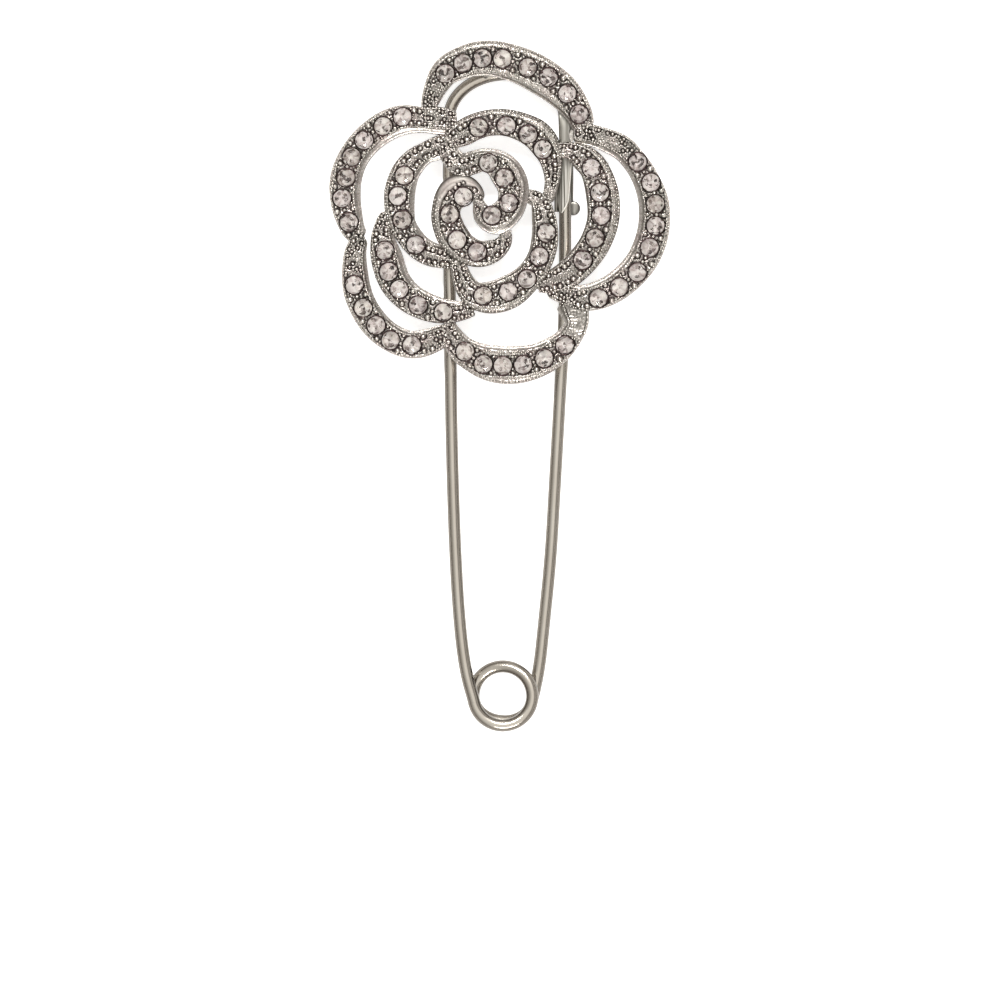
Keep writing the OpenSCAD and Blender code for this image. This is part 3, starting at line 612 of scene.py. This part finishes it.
def stone_faces():
    """Round brilliant: table, star, kite and girdle facets over a faceted pavilion."""
    p = []
    for n, r, z, turn in ((8, TABLE_R, GIRDLE_H + CROWN_H, 22.5), (8, 0.86, GIRDLE_H + 0.2, 0),
                          (16, STONE_R, GIRDLE_H, 0), (16, STONE_R, 0.0, 0), (8, 0.3, -0.72, 22.5)):
        for j in range(n):
            a = math.radians(360 / n * j + turn)
            p.append((r * math.cos(a), r * math.sin(a), z))
    p.append((0, 0, -PAVILION_H))
    T, M, G, H, Q, C = 0, 8, 16, 32, 48, 56
    f = [tuple(range(8))]
    for j in range(8):
        j1 = (j + 1) % 8
        a, b, c = (G + (2 * j + i) % 16 for i in range(3))
        f += [(T + j, M + j1, T + j1), (T + j, M + j, b), (T + j, b, M + j1), (M + j, a, b), (M + j1, b, c)]
    for j in range(16):
        k = (j + 1) % 16
        f.append((G + j, H + j, H + k, G + k))
    crown = len(f)
    for j in range(8):
        j1 = (j + 1) % 8
        a, b, c = (H + (2 * j + i) % 16 for i in range(3))
        f += [(a, Q + j, b), (b, Q + j, c), (c, Q + j, Q + j1), (Q + j, C, Q + j1)]
    return p, f, [0] * crown + [1] * (len(f) - crown)


STONE_P, STONE_F, STONE_K = stone_faces()


def stone_piece(name, glass, foil):
    """The stones of a petal, each turned and tilted a little."""
    verts, faces, kinds, tint, facet = [], [], [], [], []
    for x, y, z, turn in Path(name).stones():
        base = len(verts)
        turn += rng.uniform(0, math.pi / 4)
        tilt = (rng.uniform(-0.05, 0.05), rng.uniform(-0.05, 0.05))
        shade = rng.random()
        c, s = math.cos(turn), math.sin(turn)
        for px, py, pz in STONE_P:
            rx, ry = c * px - s * py, s * px + c * py
            verts.append((x + rx, y + ry, z + pz + tilt[0] * rx * 0.5 + tilt[1] * ry * 0.5))
            tint.append(shade)
        # Each facet gets a random tone, which the foil shows as a painted reflection
        for f in STONE_F:
            faces.append(tuple(base + i for i in f))
            facet.append(rng.random())
        kinds += STONE_K
    obj = make("crystals_" + name, verts, faces, [glass, foil], smooth=False,
               attributes={"tint": tint, "facet": facet}, face_materials=kinds)
    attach(obj, "frame")
    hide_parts("stones_" + name)


# ---- pin wire

def coil_point(angle, z):
    a = math.radians(angle)
    return np.array([COIL_X + COIL_R * math.cos(a), COIL_Y + COIL_R * math.sin(a), z])


def swept(points, radii, n=32):
    """Rings of a round wire along a row of points."""
    pts = [np.asarray(p, float) for p in points]
    rings = []
    for i, p in enumerate(pts):
        way = pts[min(i + 1, len(pts) - 1)] - pts[max(i - 1, 0)]
        rings.append(ring(p, way, radii[i], radii[i], n))
    return rings


def add_part(verts, faces, part):
    """Put the points and faces of a part after those of a piece."""
    base = len(verts)
    verts += part[0]
    faces += [tuple(base + i for i in f) for f in part[1]]


def tongue_point(place, side=0.0):
    """Point on the tongue at a side step in half widths, with half width and share of its length."""
    share, wide, step = along(TONGUE, place)[0]
    half = wide * TONGUE_W / 2
    return ARM_X + step * TONGUE_W + side * half, BOW_Y - share * (BOW_Y - MOUTH_Y), half, share


def leg_and_bow(*metals):
    """Fixed leg, bow and flattened tongue: wire, brushed metal with painted streaks of reflection, pale metal as a
    painted highlight, and plain metal darkened as painted shade.
    """
    brushed_painted_streaks, bright, plain = 1, 2, 3
    way = np.array([math.sin(math.radians(LEG_ANGLE)), -math.cos(math.radians(LEG_ANGLE)), 0])
    start = coil_point(LEG_ANGLE, HIGH_Z)
    end = np.array([LEG_X, BOW_Y, LOW_Z])
    span = end - start
    size = np.linalg.norm(span)
    p = [start, start + 0.065 * size * way + np.array([0, 0, 0.065 * span[2]]),
         end - 0.947 * np.array([0, size, span[2]]), end]
    rings = []
    for i in range(LEG_STEPS):
        t = i / LEG_STEPS
        q = [p[0] * (1 - u) ** 3 + 3 * p[1] * u * (1 - u) ** 2 + 3 * p[2] * u * u * (1 - u) + p[3] * u ** 3
             for u in (max(0, t - 0.01), t, t + 0.01)]
        d = way if i == 0 else (q[2] - q[0])
        rings.append(ring(q[1], (d[0], d[1], 0), WIRE_R, WIRE_R))
    for i in range(BOW_STEPS + 1):
        a = math.pi * (1 - i / BOW_STEPS)
        f = max(0.0, i / BOW_STEPS * 2 - 1) ** 1.5
        centre = (BOW_X + BOW_R * math.cos(a), BOW_Y + BOW_H * math.sin(a), LOW_Z + f * (TONGUE_Z - LOW_Z))
        rings.append(ring(centre, (BOW_R * math.sin(a), -BOW_H * math.cos(a), 0),
                          WIRE_R + f * (TONGUE_W / 2 - WIRE_R), WIRE_R + f * (SHEET_T / 2 - WIRE_R),
                          square=1 - 0.45 * f))
    # The flattened end is plain, darkened as painted shade over its rounded stretch, down to the petal that crosses it,
    # then brushed with painted streaks
    flat_from = len(rings) - FLAT_STEPS
    for place in np.linspace(0.4, len(TONGUE) - 1, 30):
        x, y, half, share = tongue_point(place)
        rings.append(ring((x, y, TONGUE_Z), (0, -1, 0), half, SHEET_T / 2, square=0.55))
        if share < BRUSHED_PAINTED_STREAKS_FROM:
            brushed_painted_streaks_from = len(rings)
    verts, faces = tube(rings, end_rings=True)
    n = len(rings[0])
    kinds = [0 if i // n <= flat_from else plain if i // n <= brushed_painted_streaks_from else brushed_painted_streaks for i in range(len(faces))]
    # A thin tube of pale metal runs along the tongue's outer edge and round its tip: a painted highlight
    highlight_edge = []
    for place in np.linspace(1.9, len(TONGUE) - 1, 40):
        x, y, _, _ = tongue_point(place, 0.94)
        highlight_edge.append((x - 0.03, y, TONGUE_Z + 0.46 * SHEET_T))
    add_part(verts, faces, tube(swept(highlight_edge, [0.085] * len(highlight_edge), 10)))
    kinds += [bright] * (len(faces) - len(kinds))
    obj = make("leg_and_bow", verts, faces, metals, face_materials=kinds)
    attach(obj, "frame")
    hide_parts("rose_frame")


def coil(metal):
    """Spring coil: a level turn in front, a slope at the top and a level half turn behind."""
    pts = []
    steps = 130
    first, last = LEG_ANGLE - 0.4, 720 + ARM_ANGLE + 0.6
    for i in range(steps + 1):
        a = first + (last - first) * i / steps
        if a < 360:
            z = HIGH_Z
        elif a < 540:
            z = (LOW_Z + HIGH_Z) / 2 + (HIGH_Z - LOW_Z) / 2 * math.cos(math.radians(a - 360))
        else:
            z = LOW_Z
        p = coil_point(a, z)
        if a > 540:
            # The layer behind shows a little inside the front one at the bottom
            tuck = COIL_TUCK * math.sin(math.pi * (a - 540) / (last - 540)) ** 2
            p[:2] += (np.array([COIL_X, COIL_Y]) - p[:2]) * tuck / COIL_R
        pts.append(p)
    verts, faces = tube(swept(pts, [WIRE_R] * len(pts)), end_rings=True)
    obj = make("coil_wire", verts, faces, [metal])
    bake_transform(obj)
    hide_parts("spring_coil")


def arm(metal):
    """Moving arm from the coil to its ground point inside the catch."""
    reach = MOUTH_Y - coil_point(ARM_ANGLE, 0)[1]
    rise = math.asin((CATCH_Z - LOW_Z) / reach)
    x, y, a = 0.0, 0.0, 0.0
    flat, radii, steps = [(x, y)], [WIRE_R], 10
    for share, turn in ARM_ROUTE:
        length = share * reach
        for i in range(steps):
            mid = math.radians(a + turn * (i + 0.5) / steps)
            x -= math.sin(mid) * length / steps
            y += math.cos(mid) * length / steps
            flat.append((x, y))
            radii.append(WIRE_R)
        a += turn
    go = (-math.sin(math.radians(a)), math.cos(math.radians(a)))
    ground = 0.8 * CATCH_L
    for i in range(1, 13):
        t = i / 12
        flat.append((x + go[0] * ground * t, y + go[1] * ground * t))
        radii.append(WIRE_R * (1 - 0.8 * max(0, t - 0.15) ** 1.3))
    # The path starts along the arm's first direction: turn it, then raise it
    c, s = math.cos(math.radians(ARM_ANGLE)), math.sin(math.radians(ARM_ANGLE))
    start = coil_point(ARM_ANGLE, LOW_Z)
    pts = []
    for px, py in flat:
        py += 0.05
        rx, ry = c * px - s * py, s * px + c * py
        pts.append(start + np.array([rx, ry * math.cos(rise), ry * math.sin(rise)]))
    pts[0] = start
    verts, faces = tube(swept(pts, radii), end_rings=True)
    obj = make("arm_wire", verts, faces, [metal])
    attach(obj, "arm")
    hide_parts("pin_arm")


def catch(metal):
    """Fold wall, back leaf and round tab of the catch, with rounded edges."""
    wall_x = ARM_X - WIRE_R - CATCH_GAP - SHEET_T
    wall_y = MOUTH_Y + 0.3
    r = SHEET_T / 2
    # A J of sheet: up the wall to the tongue, round the fold and along the leaf
    fold_r, fold_z = 0.34, 0.55
    section = [(wall_x + r, TONGUE_Z), (wall_x + r, 1.2), (wall_x + r, fold_z)]
    for i in range(1, 5):
        t = math.radians(90 * i / 4)
        section.append((wall_x + r + fold_r * (1 - math.cos(t)), fold_z - fold_r * math.sin(t)))
    section.append((ARM_X + WIRE_R + LEAF_OVER - r, r))
    outline = []
    for way in (section, section[::-1]):
        for i, (x, z) in enumerate(way):
            p, q = way[max(0, i - 1)], way[min(len(way) - 1, i + 1)]
            dx, dz = q[0] - p[0], q[1] - p[1]
            size = math.hypot(dx, dz)
            outline.append((x + r * dz / size, z - r * dx / size))
        # The last step's direction rounds off the end of the sheet
        outline.append((x + r * dx / size, z + r * dz / size))
    cx, cz = np.mean(outline, axis=0)
    rings, steps = [], 14
    for i in range(steps + 1):
        t = i / steps
        shrink = 1 - 0.021 * (max(0, 0.06 - min(t, 1 - t)) / 0.06) ** 2
        rings.append([(cx + (x - cx) * shrink, wall_y + CATCH_L * t, cz + (z - cz) * shrink) for x, z in outline])
    verts, faces = tube(rings)
    faces = [f[::-1] for f in faces]
    # Round tab
    tab_x, tab_y = ARM_X + 0.57 * TAB_D, MOUTH_Y + 0.44 * TAB_D
    tab, n = [], 48
    for scale, z in TAB_PROFILE:
        radius = TAB_D / 2 * scale
        row = []
        for j in range(n):
            a = 2 * math.pi * j / n
            x, y = radius * math.cos(a), radius * math.sin(a)
            if x < 0:
                # The tab runs into the fold as a neck
                pull = smooth(-x / radius)
                y = y * (1 - 0.45 * pull)
                x = x - (tab_x - wall_x - TAB_D / 3 - radius / 2) * pull
            row.append((tab_x + x, tab_y + y, z))
        tab.append(row)
    add_part(verts, faces, tube(tab))
    obj = make("catch_sheet", verts, faces, [metal])
    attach(obj, "frame")


def solder(metal):
    """Pads of solder between the wire and the petals."""
    verts, faces = [], []
    slope = (HIGH_Z - LOW_Z) / (BOW_Y - coil_point(LEG_ANGLE, 0)[1])
    places = []
    for share, dx, rim in LEG_PADS:
        y = ROSE_Y + ROSE_R * share
        places.append((LEG_X + dx, y, LOW_Z + slope * (BOW_Y - y), rim, 0.55, 0.95, 0))
    # The start of the right petal runs against the tongue
    places.append((8.62, 30.0, 3.2, 0.55, 0.3, 0.75, 0.3))
    for a in BOW_PADS:
        t = math.radians(a)
        places.append((BOW_X + BOW_R * math.cos(t), BOW_Y + BOW_H * math.sin(t), LOW_Z, 0.5, 0.45, 0.45, 0.52))
    for x, y, z, rim, w, l, shift in places:
        top = max(BACK_Z, BACK_Z + ROSE_H * rim - BAND_T) + 0.3
        rings = []
        for i in range(9):
            t = i / 8
            swell = 1 - 0.2 * math.sin(math.pi * t)
            rings.append([(x + w * swell * math.cos(q), y + shift * t + l * swell * math.sin(q), z + (top - z) * t)
                          for q in (2 * math.pi * j / 20 for j in range(20))])
        add_part(verts, faces, tube(rings))
    # The pads take a middling darkness of patina and painted shade
    obj = make("solder_pads", verts, faces, [metal],
               attributes={"patina_and_shade": [0.3] * len(verts), "soft": [0.0] * len(verts)})
    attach(obj, "frame")


# ---- materials

class Graph:
    """Short ways to add linked nodes to a node tree."""

    def __init__(self, tree):
        self.nodes, self.links = tree.nodes, tree.links

    def put(self, value, socket):
        """Link an output to a socket, or set the socket to a number."""
        if isinstance(value, bpy.types.NodeSocket):
            self.links.new(value, socket)
        else:
            socket.default_value = value

    def fill(self, node, **values):
        """Put values into a node's sockets; _ stands for a space in their names."""
        for name, value in values.items():
            self.put(value, node.inputs[name.replace("_", " ")])
        return node

    def coord(self, stretch=1.0):
        """Object coordinates, with patterns drawn out along the pin by a small stretch."""
        place = self.nodes.new("ShaderNodeTexCoord").outputs["Object"]
        if stretch == 1.0:
            return place
        return self.fill(self.nodes.new("ShaderNodeMapping"), Vector=place, Scale=(1, stretch, 1)).outputs["Vector"]

    def attribute(self, name):
        node = self.nodes.new("ShaderNodeAttribute")
        node.attribute_name = name
        return node.outputs["Fac"]

    def noise(self, coord, scale, detail=2.0, rough=0.6):
        node = self.nodes.new("ShaderNodeTexNoise")
        return self.fill(node, Vector=coord, Scale=scale, Detail=detail, Roughness=rough).outputs["Fac"]

    def ramp(self, value, stops):
        node = self.nodes.new("ShaderNodeValToRGB")
        elements = node.color_ramp.elements
        while len(elements) < len(stops):
            elements.new(0.5)
        for element, (place, colour) in zip(elements, stops):
            element.position = place
            element.color = (*colour, 1)
        self.links.new(value, node.inputs["Fac"])
        return node.outputs["Color"]

    def mix(self, share, a, b, kind="MIX"):
        node = self.nodes.new("ShaderNodeMix")
        node.data_type = "RGBA"
        node.blend_type = kind
        for value, socket in ((share, node.inputs[0]), (a, node.inputs[6]), (b, node.inputs[7])):
            self.put(value, socket)
        return node.outputs[2]

    def math(self, kind, a, b):
        node = self.nodes.new("ShaderNodeMath")
        node.operation = kind
        self.put(a, node.inputs[0])
        self.put(b, node.inputs[1])
        return node.outputs[0]

    def scaled(self, value, factor, base):
        """base + factor * value"""
        return self.math("ADD", self.math("MULTIPLY", value, factor), base)

    def edge_shade(self, colour, stops):
        """Painted shade: metal that darkens where the eye grazes it."""
        weight = self.fill(self.nodes.new("ShaderNodeLayerWeight"), Blend=0.5)
        return self.mix(1.0, colour, self.ramp(weight.outputs["Facing"], stops), "MULTIPLY")


def new_material(name):
    m = bpy.data.materials.new(name)
    m.use_nodes = True
    return m, Graph(m.node_tree), m.node_tree.nodes["Principled BSDF"]


def finish_metal(g, shader, colour, roughness, height, strength, distance):
    """Metal with a worked out colour and roughness, and a bump from a height."""
    bump = g.fill(g.nodes.new("ShaderNodeBump"), Strength=strength, Distance=distance, Height=height)
    g.fill(shader, Base_Color=colour, Roughness=roughness, Metallic=1.0, Normal=bump.outputs["Normal"])


def casting_material():
    """Plated casting: grainy, darkened in its recesses and round its stones and grains by patina and painted shade,
    with painted shade where the eye grazes it, and duller where it is soft.
    """
    m, g, shader = new_material("cast_silver")
    cloud, fine = g.noise(g.coord(), 420.0, 3.0), g.noise(g.coord(), 3200.0)
    base = g.ramp(cloud, [(0.32, (0.54, 0.49, 0.465)), (0.5, (0.615, 0.585, 0.55)), (0.68, (0.555, 0.535, 0.5))])
    grain = g.ramp(fine, [(0.38, (0.66, 0.64, 0.62)), (0.6, (1, 1, 1))])
    clean = g.mix(0.6, base, g.mix(1.0, base, grain, "MULTIPLY"))
    # The dark colour, mixed in point by point, is patina and painted shade
    patina_and_shade_share = g.math("MULTIPLY", g.attribute("patina_and_shade"), g.scaled(fine, 0.6, 0.68))
    dark = g.ramp(cloud, [(0.35, (0.05, 0.033, 0.033)), (0.65, (0.03, 0.024, 0.021))])
    # Painted shade where the eye grazes the metal
    colour = g.edge_shade(g.mix(patina_and_shade_share, clean, dark),
                          [(0.2, (1, 1, 1)), (0.45, (0.6, 0.58, 0.56)), (0.9, (0.4, 0.38, 0.36))])
    roughness = g.scaled(g.attribute("soft"), 0.3, g.scaled(fine, 0.24, 0.15))
    finish_metal(g, shader, colour, roughness, fine, 0.75, 0.00005)
    return m


def wire_material():
    """Polished wire with faint lines along the pin, and painted shade where the eye grazes it."""
    m, g, shader = new_material("polished_wire")
    lines, cloud = g.noise(g.coord(0.05), 5200.0), g.noise(g.coord(), 160.0)
    colour = g.edge_shade(g.ramp(cloud, [(0.3, (0.43, 0.397, 0.352)), (0.7, (0.464, 0.435, 0.39))]),
                          [(0.22, (1, 1, 1)), (0.34, (0.36, 0.35, 0.34)), (0.8, (0.22, 0.21, 0.2))])
    finish_metal(g, shader, colour, g.scaled(lines, 0.16, 0.12), lines, 0.08, 0.00003)
    return m


def sheet_material(name, shade, spread):
    """Flattened, brushed end of the wire: streaks along the pin painted as reflections, fainter with more spread, its
    whole tone scaled by shade, which makes darker copies as painted shade, and painted shade at its edges.
    """
    m, g, shader = new_material(name)
    broad, fine = g.noise(g.coord(0.02), 2600.0, 3.0, 0.7), g.noise(g.coord(0.02), 9000.0)
    # Light and dark streaks along the pin: painted reflections over the brushing
    tones = ((0.5 - spread, (0.1, 0.094, 0.082)), (0.5, (0.27, 0.26, 0.235)), (0.5 + spread, (0.5, 0.485, 0.45)))
    streaks = g.ramp(broad, [(place, tuple(shade * c for c in tone)) for place, tone in tones])
    colour = g.edge_shade(streaks, [(0.3, (1, 1, 1)), (0.6, (0.5, 0.49, 0.48)), (0.9, (0.3, 0.29, 0.28))])
    finish_metal(g, shader, colour, g.scaled(fine, 0.2, 0.22), broad, 0.4, 0.00003)
    return m


def bright_material():
    """Pale metal as a painted highlight along the tongue's edge."""
    m, g, shader = new_material("bright_edge")
    tone = g.ramp(g.noise(g.coord(), 900.0), [(0.3, (0.86, 0.83, 0.76)), (0.7, (0.96, 0.94, 0.88))])
    g.fill(shader, Base_Color=tone, Metallic=1.0, Roughness=0.28)
    return m


def glass_material():
    """Clear upper half of a stone, each of its own faint tint."""
    m, g, shader = new_material("crystal_crown")
    tint = g.ramp(g.attribute("tint"), [(0.0, (1.0, 0.975, 0.985)), (0.5, (1.0, 0.99, 0.985)),
                                        (1.0, (0.995, 0.985, 0.955))])
    g.fill(shader, Base_Color=tint, Roughness=0.02, IOR=1.42, Transmission_Weight=1.0)
    return m


def foil_material():
    """Foiled back: a bright ground broken up by painted reflections, light and dark patches for the images of many
    small facets and a tone for each facet.
    """
    m, g, shader = new_material("crystal_foil")
    cells = g.fill(g.nodes.new("ShaderNodeTexVoronoi"), Vector=g.coord(), Scale=3000.0)
    split = g.fill(g.nodes.new("ShaderNodeSeparateColor"), Color=cells.outputs["Color"])
    patch = g.ramp(split.outputs[0], [
        (0.0, (0.05, 0.04, 0.04)), (0.16, (0.24, 0.205, 0.2)), (0.27, (0.66, 0.615, 0.605)),
        (0.46, (0.93, 0.9, 0.89)), (0.58, (1.0, 0.99, 0.985)), (1.0, (1, 1, 1))])
    plane = g.ramp(g.attribute("facet"), [
        (0.0, (0.6, 0.55, 0.54)), (0.25, (0.9, 0.87, 0.855)), (0.5, (1.0, 0.985, 0.97)), (1.0, (1.0, 1.0, 0.97))])
    g.fill(shader, Base_Color=g.mix(1.0, patch, plane, "MULTIPLY"), Metallic=0.55, Roughness=0.24)
    return m


def floor_material():
    m, g, shader = new_material("pale_floor")
    tone = g.ramp(g.noise(g.coord(), 30.0), [(0.3, (0.93, 0.93, 0.93)), (0.7, (0.95, 0.95, 0.95))])
    g.fill(shader, Base_Color=tone, Roughness=0.5, Emission_Color=(1, 1, 1, 1), Emission_Strength=0.62)
    return m


# ---- camera, light and floor

def place_object(name, data, place):
    obj = bpy.data.objects.new(name, data)
    bpy.context.scene.collection.objects.link(obj)
    obj.location = place
    return obj


def camera():
    """Camera straight above the part, far enough to show it without perspective."""
    data = bpy.data.cameras.new("camera")
    bpy.context.scene.camera = place_object("camera", data, (0, PICTURE_Y * MM, CAMERA_H + 0.003))
    data.sensor_width = 36
    data.lens = data.sensor_width * CAMERA_H / PICTURE_W
    data.clip_start = 0.01
    data.clip_end = 10
    data.dof.use_dof = False


def area(name, place, size, power, colour):
    """Rectangular lamp that looks at the part."""
    data = bpy.data.lights.new(name, "AREA")
    data.shape = "RECTANGLE"
    data.size, data.size_y = size
    data.energy = power
    data.color = colour
    obj = place_object(name, data, place)
    obj.rotation_euler = (-Vector(place)).to_track_quat("-Z", "Y").to_euler()


def studio():
    """Two lamps, and studio walls to the left and right: a dark flag between two pale screens."""
    area("north", (-0.05, 0.4, 0.74), (0.5, 0.06), 6, (1, 0.985, 0.96))
    area("south", (0.08, -0.6, 0.5), (0.4, 0.05), 2.2, (1, 0.97, 0.94))
    world = bpy.data.worlds.new("studio")
    bpy.context.scene.world = world
    world.use_nodes = True
    g = Graph(world.node_tree)
    way = g.nodes.new("ShaderNodeSeparateXYZ")
    g.links.new(g.nodes.new("ShaderNodeTexCoord").outputs["Generated"], way.inputs[0])
    turn = g.math("ARCTAN2", way.outputs["X"], way.outputs["Z"])
    walls = g.ramp(g.scaled(turn, 1 / math.pi, 0.5), [
        (0.0, (0.34, 0.32, 0.3)), (0.24, (0.5, 0.48, 0.45)), (0.4, (0.78, 0.77, 0.74)), (0.5, (1.0, 0.98, 0.94)),
        (0.67, (0.95, 0.92, 0.88)), (0.72, (0.3, 0.28, 0.26)), (0.77, (0.3, 0.28, 0.26)), (0.82, (0.75, 0.73, 0.7)),
        (1.0, (0.34, 0.32, 0.3))])
    ceiling = g.ramp(way.outputs["Z"], [(0.0, (0.45, 0.43, 0.41)), (0.6, (0.8, 0.8, 0.8)), (1.0, (1, 1, 1))])
    g.fill(g.nodes["Background"], Color=g.mix(1.0, walls, ceiling, "MULTIPLY"), Strength=1.4)
    bpy.context.scene.view_settings.view_transform = "Standard"


def pale_floor():
    """Floor just under the part."""
    size, n, z = 1.2, 24, -0.00002
    row = n + 1
    mesh = bpy.data.meshes.new("floor")
    mesh.from_pydata([((i / n - 0.5) * size, (j / n - 0.5) * size, z) for j in range(row) for i in range(row)], [],
                     [(j * row + i, j * row + i + 1, (j + 1) * row + i + 1, (j + 1) * row + i)
                      for j in range(n) for i in range(n)])
    mesh.materials.append(floor_material())
    floor = place_object("floor", mesh, (0, 0, 0))


camera()
studio()
pale_floor()
silver, wire, glass, foil = casting_material(), wire_material(), glass_material(), foil_material()
brushed_painted_streaks = sheet_material("brushed_sheet_painted_streaks", 0.9, 0.06)
# A darker, flatter copy of the sheet: painted shade on the catch and the tongue's rounded stretch
plain = sheet_material("catch_sheet", 0.8, 0.2)
for petal in BANDS:
    band_piece(petal, silver)
    stone_piece(petal, glass, foil)
leg_and_bow(wire, brushed_painted_streaks, bright_material(), plain)
coil(wire)
arm(wire)
catch(plain)
solder(silver)
